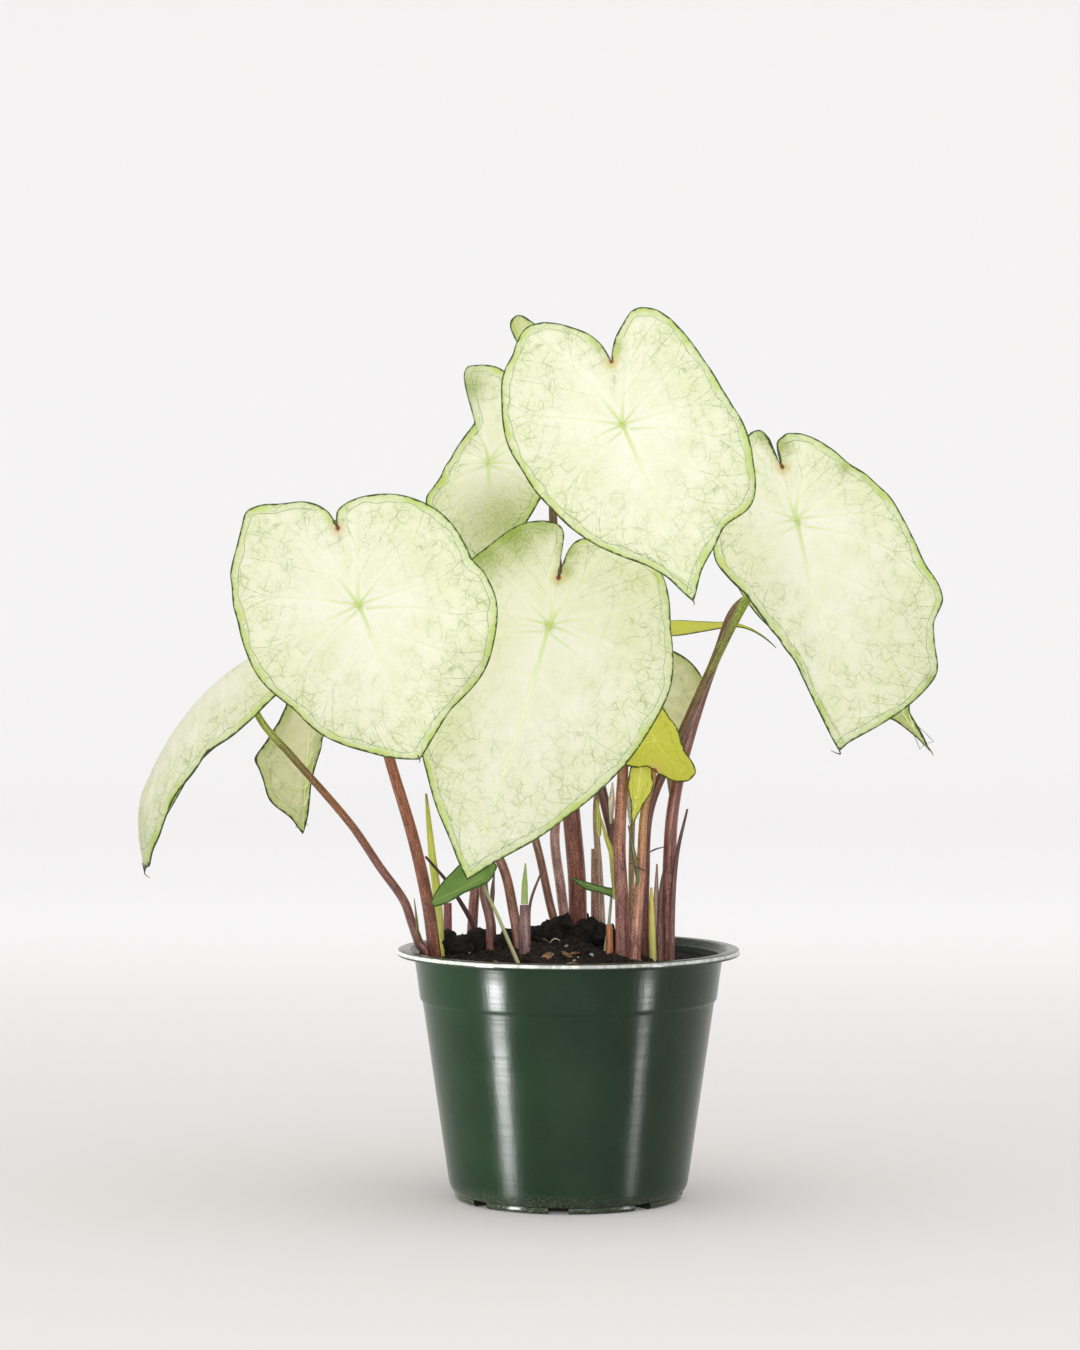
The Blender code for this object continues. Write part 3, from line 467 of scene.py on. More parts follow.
BLADES = (
    Blade(
        name="leaf_top_front", hub=(25, -60, 369), facing=(0, 0), tip=21.6,
        right=((0, 88.3), (7, 76.6), (15, 71), (24, 67), (36, 70.6), (54, 63), (69, 56.8), (80, 52),
               (92, 49.6), (104, 49.4), (116, 51), (128, 54), (136, 56.4), (143, 57.6), (149, 57),
               (153, 55), (158, 48), (163, 41), (168, 30.5)),
        left=((0, 88.3), (6, 73.4), (13, 66), (29, 59), (48, 53.9), (65, 51.1), (83, 51.1), (102, 54.3),
              (121, 57), (136, 60.6), (144, 61), (150, 63), (157, 64.6), (164, 61.8), (168, 58.6),
              (172, 55), (176, 51.2), (180, 47.8), (184, 43.6), (188, 38.5), (192, 30.5)),
        lean=(20, 4), arch=(14, 10), roll=10, ruffle=(1.5, 5, 0.6),
        shade_greens=((11, -35.6, 3.5, 0.45), (4, -38.3, 3, 0.4)),
    ),
    Blade(
        name="leaf_left_front", hub=(-97, -70, 285.5), facing=(0, 0), tip=22.3,
        right=((0, 76.3), (10, 68.9), (21, 64.7), (41, 66.1), (52, 65.2), (67, 64.3), (82, 60.1),
               (91, 56.4), (112, 57.2), (133, 55.3), (151, 51.8), (161, 49.4), (168, 47), (172, 44.5),
               (174, 37)),
        left=((0, 76.3), (9, 72.1), (19, 67.5), (39, 61.8), (57, 56.6), (77, 57.4), (92, 57), (103, 57.3),
              (112, 59.2), (120, 60.7), (126, 62.8), (136, 64.2), (145, 67), (151, 69.6), (156, 67.2),
              (164, 60.3), (175, 54), (183, 46), (186, 37)),
        lean=(16, -8), arch=(8, 10), roll=12, ruffle=(1.2, 4, 1.9), curls=((32, 26, 9),),
    ),
    Blade(
        name="leaf_centre_front", hub=(-9, -38, 276), facing=(0, 0), tip=-17.9,
        right=((0, 123.2), (6, 110.5), (15, 98.5), (24, 88.5), (34, 80.9), (44, 75), (63, 67.3), (82, 63.6),
               (98, 59), (108, 57.2), (131, 58.5), (145, 55), (160, 49), (172, 46), (180, 42), (184, 36),
               (187, 22.6)),
        left=((0, 123.2), (3, 117), (7, 109), (14, 99), (23, 88), (40, 74), (60, 62), (80, 55), (100, 50),
              (125, 47.5), (151, 50.2), (159, 49.8), (168, 47.5), (171.5, 43), (173, 22.6)),
        lean=(24, 0), arch=(9, 16), roll=12, fold=6, ruffle=(1.6, 5, 2.6), curls=((-152, 24, 8),),
        shade_greens=((-41.5, -22.5, 12, 0.75), (-30.8, -35.3, 11, 0.8), (-19, -44.6, 8, 0.6),
                (-2.8, -35.8, 4, 0.7),
                (0, -27, 3.5, 0.5)),
    ),
    Blade(
        name="leaf_right_front", hub=(109.3, 0, 326.4), facing=(0, 0), tip=10.4,
        right=((0, 113.2), (3, 110), (11, 107), (25, 104), (30.5, 102.4), (33, 100.4), (38.5, 89.8),
               (44, 83.4), (50.5, 82.2), (54.5, 78), (61, 66.5), (68, 60), (75, 55.2), (84, 51),
               (93, 47.9), (102, 44), (111, 41.4), (128, 37.6), (144, 39), (159, 41.2), (167, 42),
               (174, 42), (178.4, 40.4), (182.3, 38.4), (183.5, 34.5), (184, 26)),
        left=((0, 113.2), (4, 92.9), (8, 77.9), (12, 67.5), (16, 62.5), (20, 57.6), (24, 54.7),
              (28, 51.6), (36, 47.2), (48, 43.7), (60, 43.8), (72, 44.4), (84, 42.4), (110, 38.5),
              (140, 40), (156, 44.2), (164, 47), (168, 46.6), (170.4, 45), (171.6, 42.5), (172.3, 36),
              (173.6, 30), (176, 26)),
        lean=(16, 18), arch=(14, 14), roll=26, fold=26, ruffle=(1.8, 6, 0.4),
        shade_greens=((0.3, -36.1, 4.5, 0.6), (-7.9, -42, 4, 0.6), (28, -19.8, 2.5, 0.5), (50.7, 88, 4, 0.6)),
    ),
    Blade(
        name="leaf_top_left", hub=(-39.2, 25, 354.5), facing=(0, 0), tip=0,
        right=((0, 53.6), (20, 39), (35, 34.3), (40, 33.2), (54, 31.4), (75, 34), (100, 37), (125, 38),
               (145, 37), (156, 26.5)),
        left=((0, 53.6), (15, 46.3), (35, 40), (52, 38), (61, 35.1), (66, 29.9), (74, 24.6), (85, 21.6),
              (99, 18.6), (125, 17.3), (151, 18.6), (160, 21), (162.3, 40), (164, 46), (168, 49.4),
              (172, 49), (184, 47.4), (191, 45), (198, 38), (204, 26.5)),
        lean=(10, -20), arch=(40, 14), roll=14, ruffle=(1.2, 4, 0.0), curls=((-166, 16, 8),),
        shade_greens=((5.8, 28, 17, 0.5), (-8.8, -37.7, 7, 0.6)),
    ),
    Blade(
        name="leaf_far_left", hub=(-162, 5, 254.5), facing=(-84, 54), tip=0,
        right=((0, 92), (6, 90.8), (12, 90), (18, 86.5), (24, 82), (29.5, 67), (39, 57), (48, 48.5),
               (54, 47.5), (66, 46.5), (78, 44.6), (104, 40.1), (127, 41), (148, 41), (162, 38),
               (172, 30), (178, 22)),
        left=((0, 92), (6, 91), (12, 88.5), (20, 84.5), (26, 78), (33, 68), (40, 59), (50, 54),
              (60, 51.5), (72, 48.5), (84, 44), (96, 41.3), (127, 41), (148, 41), (162, 38), (172, 30),
              (182, 22)),
        arch=(46, 20), hook=(70, 16), roll=50, fold=-40, ruffle=(1.0, 5, 1.0),
    ),
    Blade(
        name="leaf_lower_left", hub=(-125, 25, 243.5), facing=(180, 0), tip=4.3,
        right=((0, 70.8), (5.8, 63.3), (15, 58.2), (17.3, 56.5), (23.6, 49.5), (29.2, 45.4), (35.4, 42.2),
               (37.5, 32), (44, 20.4), (60, 13.5), (90, 13), (130, 18), (160, 17), (175, 10)),
        left=((0, 70.8), (1.5, 62), (2.5, 47), (6, 36.5), (11, 29.4), (16, 23.4), (45, 20), (90, 20),
              (130, 20), (165, 17), (185, 10)),
        lean=(14, 42), arch=(16, 14), roll=12, ruffle=(1.2, 4, 0.5),
    ),
    Blade(
        name="leaf_far_right", hub=(139, 40, 271.3), facing=(180, 0), tip=-33,
        right=((0, 68.2), (1.5, 59.7), (7, 47.8), (15, 42), (30, 36), (60, 27.5), (90, 25), (130, 26),
               (155, 25), (172, 18)),
        left=((0, 68.2), (1.4, 59.8), (2.8, 47.5), (8, 43), (20, 39), (45, 35), (90, 31), (130, 32),
              (165, 28), (188, 18)),
        lean=(16, -36), arch=(14, 16), roll=14, ruffle=(1.0, 5, 0.2),
    ),
    Blade(
        name="leaf_inner_right", hub=(34.8, 24, 238.7), facing=(180, 0), tip=-10,
        right=((0, 33), (20, 33), (50, 35), (90, 35), (130, 35), (160, 29), (182, 18)),
        left=((0, 33), (20, 28), (49, 28.2), (90, 32.5), (136, 29.1), (160, 26), (178, 18)),
        lean=(12, 12), arch=(20, 12), roll=18, ruffle=(1.0, 4, 0.8),
    ),
    Blade(
        name="leaf_young", hub=(41.2, -15, 220.7), facing=(0, 0), tip=-160,
        right=((0, 33), (30, 26), (60, 24), (90, 21), (120, 17), (145, 13.3), (160, 14.8)),
        left=((0, 33), (20, 22), (36, 15.8), (60, 12.5), (99, 12.2), (125, 14.3), (136, 18.5), (144, 23.7),
              (150, 26.1), (158, 26.3), (170, 23.7), (182, 19.6), (200, 14.8)),
        lean=(-6, 18), arch=(18, 40), roll=70, ruffle=(0.6, 3, 0.4),
        lime=0.9, slot="young_leaf",
    ),
    Blade(
        name="leaf_narrow", hub=(35, 35, 271.7), facing=(0, 76), tip=88,
        right=((0, 67), (2, 52), (5, 44), (10, 36), (20, 28), (35, 23), (60, 18), (90, 17), (130, 18),
               (155, 16), (176, 9)),
        left=((0, 67), (2, 52), (5, 44), (10, 36), (20, 28), (35, 23), (60, 18), (90, 17), (130, 18),
              (155, 16), (184, 9)),
        lean=(0, -6), arch=(0, 20), hook=(42, 14), roll=-30, fold=4, ruffle=(0.5, 4, 0.0),
        lime=1.0, plain=True, slot="young_leaf",
    ),
    Blade(
        name="leaf_small", hub=(34.5, -12, 206.3), facing=(0, 0), tip=-8.5,
        right=((0, 26.6), (4, 22), (12, 17), (19, 14.6), (33, 12), (51, 9.3), (65, 7), (90, 5.5),
               (130, 5.5), (160, 6), (178, 5)),
        left=((0, 26.6), (10, 15.8), (33, 9.5), (60, 6), (90, 5), (130, 5), (160, 6), (182, 5)),
        lean=(10, 6), arch=(20, 20), roll=60, ruffle=(0.3, 3, 0.0),
        lime=0.7, slot="young_leaf",
    ),
    Blade(
        name="leaf_top_back", hub=(0.7, 5, 386), facing=(180, 0), tip=0,
        right=((0, 34), (10, 33), (30, 31), (60, 29), (90, 28), (115, 30), (128, 32), (132.4, 33.2),
               (135, 38), (138, 43), (141.5, 45.3), (145, 45.6), (148.5, 44), (151.5, 40), (156, 35),
               (165, 31), (175, 22)),
        left=((0, 34), (10, 33), (30, 33), (60, 34), (90, 30), (120, 26), (144, 22), (165, 24), (175, 23),
              (185, 22)),
        lean=(8, 8), arch=(16, 14), roll=14, ruffle=(1.0, 5, 0.3),
    ),
    Blade(
        name="leaf_back_left", hub=(-96, 60, 291.5), facing=(-155, 0), tip=6,
        right=heart(70), left=heart(70),
        lean=(26, 0), arch=(14, 12), roll=14, ruffle=(1.6, 5, 1.4),
    ),
    Blade(
        name="leaf_back", hub=(-7, 70, 266.5), facing=(176, 0), tip=-5,
        right=heart(80), left=heart(80),
        lean=(26, 0), arch=(12, 14), roll=12, ruffle=(1.6, 4, 2.2),
    ),
    Blade(
        name="leaf_back_right", hub=(115, 60, 314), facing=(158, 0), tip=-14,
        right=heart(67), left=heart(67),
        lean=(24, 0), arch=(14, 12), roll=12, ruffle=(1.4, 5, 0.9),
    ),
    Blade(
        name="weed_leaf_oval", hub=(-40.7, -38, 156.8), facing=(0, 0), tip=-65,
        right=((0, 26.5), (4, 26.3), (9, 21), (11.5, 15.8), (14.5, 10.4), (38, 4.6), (90, 3), (141, 3.9),
               (180, 6.7)),
        left=((0, 26.5), (8, 23), (15.5, 20), (36, 14.4), (52, 12.6), (81, 10.2), (124, 9.4), (166, 9),
              (180, 6.7)),
        lean=(30, 0), arch=(20, 20), ruffle=(0.0, 3, 0.0),
        plain=True, slot="weed",
    ),
    Blade(
        name="weed_leaf_thin", hub=(20.8, -5.5, 147.2), facing=(0, 0), tip=-109,
        right=((0, 21.8), (4, 18), (12.7, 13), (21, 5.8), (60, 2.5), (120, 2.2), (180, 2.5)),
        left=((0, 21.8), (5, 11.6), (11, 6.7), (35, 3), (90, 2), (180, 2.5)),
        arch=(20, 0), ruffle=(0.0, 3, 0.0),
        plain=True, slot="weed",
    ),
)

STEMS = (
    Stem("stem_top_front", (26.3, -15), ((25.5, -13, 144.4), (24.4, -11, 168.1), (25.3, -8, 191.8),
                                         (26.1, -5, 206), (26.6, -6, 287.5), (26.4, -20, 335)),
         (4.0, 1.6), "leaf_top_front", taper=0.5),
    Stem("stem_left_front", (-63.6, -10), ((-67.4, -12, 143.4), (-74, -16, 173.7), (-85, -28, 213.3),
                                           (-92.2, -42, 245.3)), (3.1, 1.9), "leaf_left_front", taper=1.3),
    Stem("stem_centre_front", (4.8, 12), ((4.1, 9, 152.3), (1.7, 5, 180.5), (-3.1, -3, 230)), (4.4, 2.6),
         "leaf_centre_front", taper=3.0),
    Stem("stem_right_front", (36.7, -2), ((36.7, -1, 153), (39.2, 1, 187.5), (53.7, 3, 221.1),
                                          (73.5, 5, 264.4), (84, 7, 284.5)), (2.4, 2.2),
                                          "leaf_right_front"),
    Stem("stem_top_left", (-47.5, 25), ((-46, 24, 141.4), (-43, 26, 170), (-39, 34, 250), (-39, 40, 310)),
         (2.6, 1.8), "leaf_top_left"),
    Stem("stem_far_left", (-67.2, 6), ((-72.2, 6, 122), (-75.6, 6, 131.4), (-79.6, 6, 142.4),
                                       (-90.8, 5, 158.3), (-105.2, 3, 179.7), (-133.7, -1, 213.1),
                                       (-147.2, 0, 228.4)), (2.3, 1.6), "leaf_far_left"),
    Stem("stem_lower_left", (-23.2, -14), ((-25.6, -12, 134.8), (-32, 0, 160.2), (-51.3, 6, 193.5),
                                           (-68, 12, 220.7), (-95, 17, 238)), (2.6, 1.6),
                                           "leaf_lower_left"),
    Stem("stem_far_right", (47.2, -5), ((48.2, -4, 153.3), (50.2, 0, 186.6), (57.7, 12, 218.4),
                                        (72.5, 18, 262), (85, 16, 287), (118, 24, 290)), (3.7, 1.7),
         "leaf_far_right"),
    Stem("stem_inner_right", (16.9, 32), ((15.4, 32, 150.5), (13.5, 30, 186), (17.5, 18, 208),
                                          (26, 13, 225)),
         (1.8, 1.4), "leaf_inner_right"),
    Stem("stem_young", (31.6, -22), ((32.3, -22, 130.9), (34.6, -14, 160), (36.3, -6, 186),
                                     (40.5, -5, 204)),
         (2.8, 1.5), "leaf_young"),
    Stem("stem_narrow", (48.6, 12), ((49.6, 13, 148), (51.5, 27, 180), (47.5, 40, 212), (40, 42, 250)),
         (1.6, 1.2), "leaf_narrow"),
    Stem("stem_small", (31.2, 14), ((30.5, 12, 160), (31.5, 2, 190)), (1.7, 1.2), "leaf_small"),
    Stem("stem_top_back", (26.7, 2), ((23.8, 4, 162.3), (18.6, 6, 185.3), (5.6, 9, 239.2), (-4.1, 7, 297.1),
                                      (-7.5, 3, 332), (-4, -2, 364)), (2.7, 1.9), "leaf_top_back"),
    Stem("stem_back_left", (-4.1, 25), ((-9, 25, 138.9), (-14.9, 28, 165.4), (-30, 42, 218),
                                        (-60, 48, 270)),
         (2.1, 1.7), "leaf_back_left"),
    Stem("stem_back", (-37.1, -6), ((-37.3, -5, 132), (-41.1, 2, 152.8), (-33.2, 16, 192), (-18, 42, 246)),
         (2.5, 1.8), "leaf_back"),
    Stem("stem_back_right", (-0.2, 32), ((-3.7, 32, 145.6), (-6.6, 37, 174.6), (3.2, 42, 238.2),
                                         (30.2, 40, 292.3), (66, 40, 328)), (2.6, 1.7), "leaf_back_right"),
    Stem("stub_pink", (-58.6, 14), ((-58.6, 14, 128), (-58.6, 14, 140.5)), (2.2, 2.0)),
    Stem("stump_cut", (13.4, 22), ((13.1, 22, 142), (13.1, 22, 166.3)), (2.3, 2.1)),
    Stem("shoot_sheath", (-20.6, -24), ((-20.7, -24, 130), (-20.9, -24, 142.7)), (2.9, 2.2)),
    Stem("shoot_bract", (-18.9, -19.2), ((-18.2, -19.2, 143), (-12.1, -22, 160.2)), (0.8, 0.45), taper=2.0),
    Stem("sprout_left", (-61.4, -2), ((-63.2, -1.5, 145.6), (-65.6, -1, 165), (-68.5, 0, 194.4)),
         (2.2, 0.5), taper=3.0),
    Stem("sprout_right", (40.4, -12), ((39.9, -12, 132), (39.6, -12, 150.1)), (1.8, 0.5), taper=2.0),
    Stem("sheath_tip", (49.1, -12.5), ((49.9, -10.8, 144.2), (52, -9.6, 166), (56.9, -9, 187.5)),
         (1.5, 0.5), taper=2.0),
    Stem("twig", (-41.7, 6), ((-46.5, 4, 132.3), (-58.1, -4, 151.9), (-68.5, -8, 164.6)), (1.5, 0.6)),
    Stem("weed_stalk_oval", (-23.5, -37), ((-32.2, -37, 136),), (1.0, 0.7), "weed_leaf_oval"),
    Stem("weed_stalk_thin", (17.5, -7), ((19.4, -5, 131.9),), (0.9, 0.6), "weed_leaf_thin"),
)

SKINS = {
    "stem_top_front": ((0, (156, 92, 82)), (0.12, (178, 120, 106)), (0.25, (182, 120, 88)),
                       (0.36, (172, 104, 50)),
                       (0.6, (150, 120, 50)), (1, (150, 176, 70))),
    "stem_left_front": ((0, (140, 84, 60)), (0.3, (166, 98, 58)), (0.6, (176, 104, 62)),
                        (1, (172, 156, 92))),
    "stem_centre_front": ((0, (122, 66, 54)), (0.2, (142, 80, 62)), (0.42, (116, 62, 50)),
                          (1, (150, 130, 80))),
    "stem_right_front": ((0, (140, 92, 76)), (0.2, (120, 66, 44)), (0.45, (98, 58, 30)),
                         (0.58, (116, 100, 26)),
                         (0.7, (130, 150, 26)), (0.82, (146, 182, 28)), (1, (158, 194, 44))),
    "stem_top_left": ((0, (176, 120, 104)), (0.2, (150, 96, 80)), (1, (160, 140, 80))),
    "stem_far_left": ((0, (158, 108, 104)), (0.35, (144, 92, 76)), (0.5, (156, 98, 46)),
                      (0.62, (122, 94, 28)),
                      (0.72, (128, 134, 32)), (0.8, (150, 174, 46)), (1, (168, 196, 66))),
    "stem_lower_left": ((0, (150, 100, 84)), (0.4, (164, 108, 88)), (1, (172, 152, 110))),
    "stem_far_right": ((0, (156, 98, 88)), (0.3, (136, 78, 66)), (0.6, (120, 76, 50)), (1, (140, 150, 60))),
    "stem_inner_right": ((0, (208, 184, 156)), (0.5, (192, 168, 124)), (1, (160, 165, 70))),
    "stem_young": ((0, (196, 140, 122)), (0.35, (200, 132, 84)), (0.8, (200, 160, 80)),
                   (1, (200, 196, 90))),
    "stem_narrow": ((0, (120, 70, 60)), (1, (130, 130, 40))),
    "stem_small": ((0, (204, 166, 128)), (1, (200, 190, 90))),
    "stem_top_back": ((0, (112, 66, 58)), (0.3, (92, 52, 46)), (0.6, (86, 52, 42)), (1, (120, 110, 50))),
    "stem_back_left": ((0, (150, 96, 80)), (1, (150, 140, 70))),
    "stem_back": ((0, (140, 84, 72)), (1, (150, 140, 70))),
    "stem_back_right": ((0, (208, 164, 154)), (0.4, (200, 154, 140)), (1, (150, 140, 70))),
    "stub_pink": ((0, (178, 100, 106)), (1, (150, 80, 84))),
    "stump_cut": ((0, (170, 120, 100)), (1, (198, 164, 134))),
    "shoot_sheath": ((0, (140, 110, 112)), (0.6, (162, 130, 124)), (1, (108, 70, 80))),
    "shoot_bract": ((0, (150, 110, 100)), (1, (110, 70, 66))),
    "sprout_left": ((0, (216, 222, 104)), (0.7, (208, 216, 84)), (0.93, (180, 184, 60)), (1, (96, 92, 30))),
    "sprout_right": ((0, (206, 202, 116)), (0.8, (222, 214, 84)), (1, (204, 190, 40))),
    "sheath_tip": ((0, (150, 104, 96)), (0.5, (100, 62, 60)), (1, (70, 36, 40))),
    "twig": ((0, (70, 48, 42)), (1, (44, 30, 26))),
    "weed_stalk_oval": ((0, (184, 182, 136)), (1, (140, 160, 90))),
    "weed_stalk_thin": ((0, (174, 176, 146)), (1, (110, 130, 100))),
}
STEM_SLOTS = {
    "sprout_left": "sprout", "sprout_right": "sprout", "shoot_bract": "dry", "sheath_tip": "dry",
    "twig": "dry",
    "weed_stalk_oval": "weed", "weed_stalk_thin": "weed",
}
HAIRS = {
    "leaf_right_front": (3.0, (-4.6, 0.0, 2.4)), "leaf_far_left": (3.0, (2.2, 0.0, -1.0)),
    "leaf_far_right": (3.5, (0.0, 0.0, -0.5)), "leaf_top_front": (2.0, (-0.4, 0.0, -0.6)),
    "leaf_left_front": (2.0, (-0.8, 0.0, -0.4)),
}


# ---------------------------------------------------------------- leaves


class Margin:
    """The outline of a blade: a smooth reach for each bearing, and points spaced along it."""

    def __init__(self, blade: Blade) -> None:
        """Fit both sides of a blade's outline."""
        self.right_end = float(blade.right[-1][0])
        self.left_end = float(blade.left[-1][0])
        self.sides = {1: self.fitted(blade.right), -1: self.fitted(blade.left)}

    @staticmethod
    def fitted(stations: tuple[Station, ...]) -> tuple[np.ndarray, np.ndarray, np.ndarray]:
        """Slopes that carry a curve through the stations with no overshoot.

        Args:
            stations: bearings and reaches.

        Returns:
            Bearings, reaches and slopes.
        """
        bearings, reaches = np.array(stations, float).T
        steps = np.diff(reaches) / np.diff(bearings)
        slopes = np.empty_like(reaches)
        slopes[0], slopes[-1] = steps[0], steps[-1]
        for index in range(1, len(reaches) - 1):
            before, after = steps[index - 1], steps[index]
            slopes[index] = 0.0 if before * after <= 0 else 2 * before * after / (before + after)
        return bearings, reaches, slopes

    def reach(self, bearing: np.ndarray) -> np.ndarray:
        """Reach of the margin, mm, at signed bearings, degrees."""
        bearing = np.asarray(bearing, float)
        result = np.empty_like(bearing)
        for side in (1, -1):
            chosen = (bearing * side >= 0) if side == 1 else (bearing < 0)
            bearings, reaches, slopes = self.sides[side]
            at = np.clip(np.abs(bearing[chosen]), 0, bearings[-1])
            index = np.clip(np.searchsorted(bearings, at, side="right") - 1, 0, len(bearings) - 2)
            width = bearings[index + 1] - bearings[index]
            t = (at - bearings[index]) / width
            result[chosen] = (
                (2 * t ** 3 - 3 * t ** 2 + 1) * reaches[index] + (t ** 3 - 2 * t ** 2 + t) * width
                * slopes[index]
                + (3 * t ** 2 - 2 * t ** 3) * reaches[index + 1] + (t ** 3 - t ** 2) * width
                * slopes[index + 1]
            )
        return result

    def bearings(self, spacing: float) -> np.ndarray:
        """Signed bearings once round the blade, spaced evenly along the margin.

        Args:
            spacing: distance between neighbours on the margin, mm.

        Returns:
            Bearings from the notch by the tip back to the notch, which isn't repeated.
        """
        halves = []
        for side, end in ((1, self.right_end), (-1, self.left_end)):
            fine = np.linspace(0, end, 1500)
            reach = self.reach(fine * side if side == 1 else -np.maximum(fine, 1e-6))
            flat = np.stack([reach * np.sin(np.radians(fine)), reach * np.cos(np.radians(fine))], 1)
            run = np.concatenate([[0], np.cumsum(np.linalg.norm(np.diff(flat, axis=0), axis=1))])
            count = max(int(run[-1] / spacing), 12)
            halves.append(np.interp(np.linspace(0, run[-1], count + 1), run, fine))
        right, left = halves
        return np.concatenate([right[::-1], -left[1:-1]])

    def signed(self, across: np.ndarray, along: np.ndarray) -> np.ndarray:
        """Signed bearings of places, degrees, on the blade's own side of the notch."""
        bearing = np.degrees(np.arctan2(across, along))
        bearing = np.where(bearing > self.right_end, bearing - 360, bearing)
        return np.where(bearing < -self.left_end, bearing + 360, bearing)


class Surface:
    """The raised upper face of a blade."""

    def __init__(self, blade: Blade) -> None:
        """Set up the layout axes and the margin of a blade."""
        self.blade = blade
        self.margin = Margin(blade)
        azimuth, elevation = (math.radians(angle) for angle in blade.facing)
        facing = Vector((
            math.sin(azimuth) * math.cos(elevation), -math.cos(azimuth) * math.cos(elevation),
            math.sin(elevation),
        ))
        down = (Vector((0, 0, -1)) + facing * facing.z).normalized()
        right = facing.cross(down)
        tip = math.radians(blade.tip)
        tipward = down * math.cos(tip) + right * math.sin(tip)
        self.facing, self.tipward, self.side = (
            np.array(axis) for axis in (facing, tipward, facing.cross(tipward))
        )

    def rise(self, across: np.ndarray, along: np.ndarray, share: np.ndarray,
             bearing: np.ndarray) -> np.ndarray:
        """Rise of the blade off its layout plane.

        Args:
            across: places across the blade from its hub, mm.
            along: places towards its tip, mm.
            share: share of the margin's reach.
            bearing: signed bearings, degrees.

        Returns:
            The rise, mm.
        """
        blade = self.blade
        tip = math.radians(blade.tip)
        down = along * math.cos(tip) - across * math.sin(tip)
        right = along * math.sin(tip) + across * math.cos(tip)
        rise = down * math.tan(math.radians(blade.lean[0])) - right * math.tan(math.radians(blade.lean[1]))
        rise = rise - np.where(along > 0, blade.arch[0], blade.arch[1]) * (along / 100) ** 2
        rise = rise - blade.roll * (across / 100) ** 2
        rise = rise + blade.fold * (np.hypot(across, 8) - 8) / 100
        start, drop = blade.hook
        if drop:
            past = np.maximum(along - start, 0) / (blade.right[0][1] - start)
            rise = rise - drop * past ** 2
        size, waves, phase = blade.ruffle
        rise = rise + size * share ** 4 * np.sin(waves * np.radians(bearing) + phase)
        for middle, spread, drop in blade.curls:
            off = np.minimum(np.abs(bearing - middle) / spread, 1.0)
            past = np.maximum(share - 0.55, 0) ** 2 / 0.45 ** 2
            rise = rise - drop * np.cos(off * math.pi / 2) ** 2 * past
        return rise

    def place(self, across: np.ndarray, along: np.ndarray) -> np.ndarray:
        """Points of the upper face, m, at places from the hub, mm."""
        across, along = np.asarray(across, float), np.asarray(along, float)
        bearing = self.margin.signed(across, along)
        reach = np.maximum(self.margin.reach(bearing), 1e-6)
        share = np.hypot(across, along) / reach
        rise = self.rise(across, along, share, bearing)
        flat = self.side * across[:, None] + self.tipward * along[:, None] + self.facing * rise[:, None]
        return (np.array(self.blade.hub) + flat) * MM

    def hub_normal(self) -> Vector:
        """Direction that the upper face looks to at the hub."""
        points = []
        for bearing in (0.0, 90.0, 180.0, -90.0):
            far = self.blade.right[0][1] * HUB_PROBE
            across, along = far * math.sin(math.radians(bearing)), far * math.cos(math.radians(bearing))
            rise = self.rise(*(np.array([value]) for value in (across, along, HUB_PROBE, bearing)))
            flat = self.side * across + self.tipward * along + self.facing * rise[0]
            points.append(Vector(flat))
        ahead, right, behind, left = points
        return (right - left).cross(behind - ahead).normalized()


class VeinKind(Enum):
    """How strong a vein is: its starting and ending radius, mm."""

    MIDRIB = (1.0, 0.24)
    LOBE = (0.8, 0.2)
    SIDE = (0.5, 0.13)
    SUBMARGINAL = (0.19, 0.19)
    BRANCH = (0.14, 0.1)


@dataclass(frozen=True)
class Vein:
    """One vein: its kind and its points across and along the blade, mm."""

    kind: VeinKind
    points: np.ndarray

    @property
    def tones(self) -> tuple[float, float]:
        """How dark it is where it starts and where it ends, 0 pale to 1 dark."""
        return {
            VeinKind.MIDRIB: (0.0, 0.35), VeinKind.LOBE: (0.0, 0.3), VeinKind.SIDE: (0.05, 0.62),
            VeinKind.BRANCH: (0.5, 0.9), VeinKind.SUBMARGINAL: (1.0, 1.0),
        }[self.kind]


def bent(start: np.ndarray, middle: np.ndarray, end: np.ndarray, count: int = 18) -> np.ndarray:
    """Points on a curve that starts towards middle and ends at end."""
    t = np.linspace(0, 1, count)[:, None]
    return (1 - t) ** 2 * start + 2 * t * (1 - t) * middle + t ** 2 * end


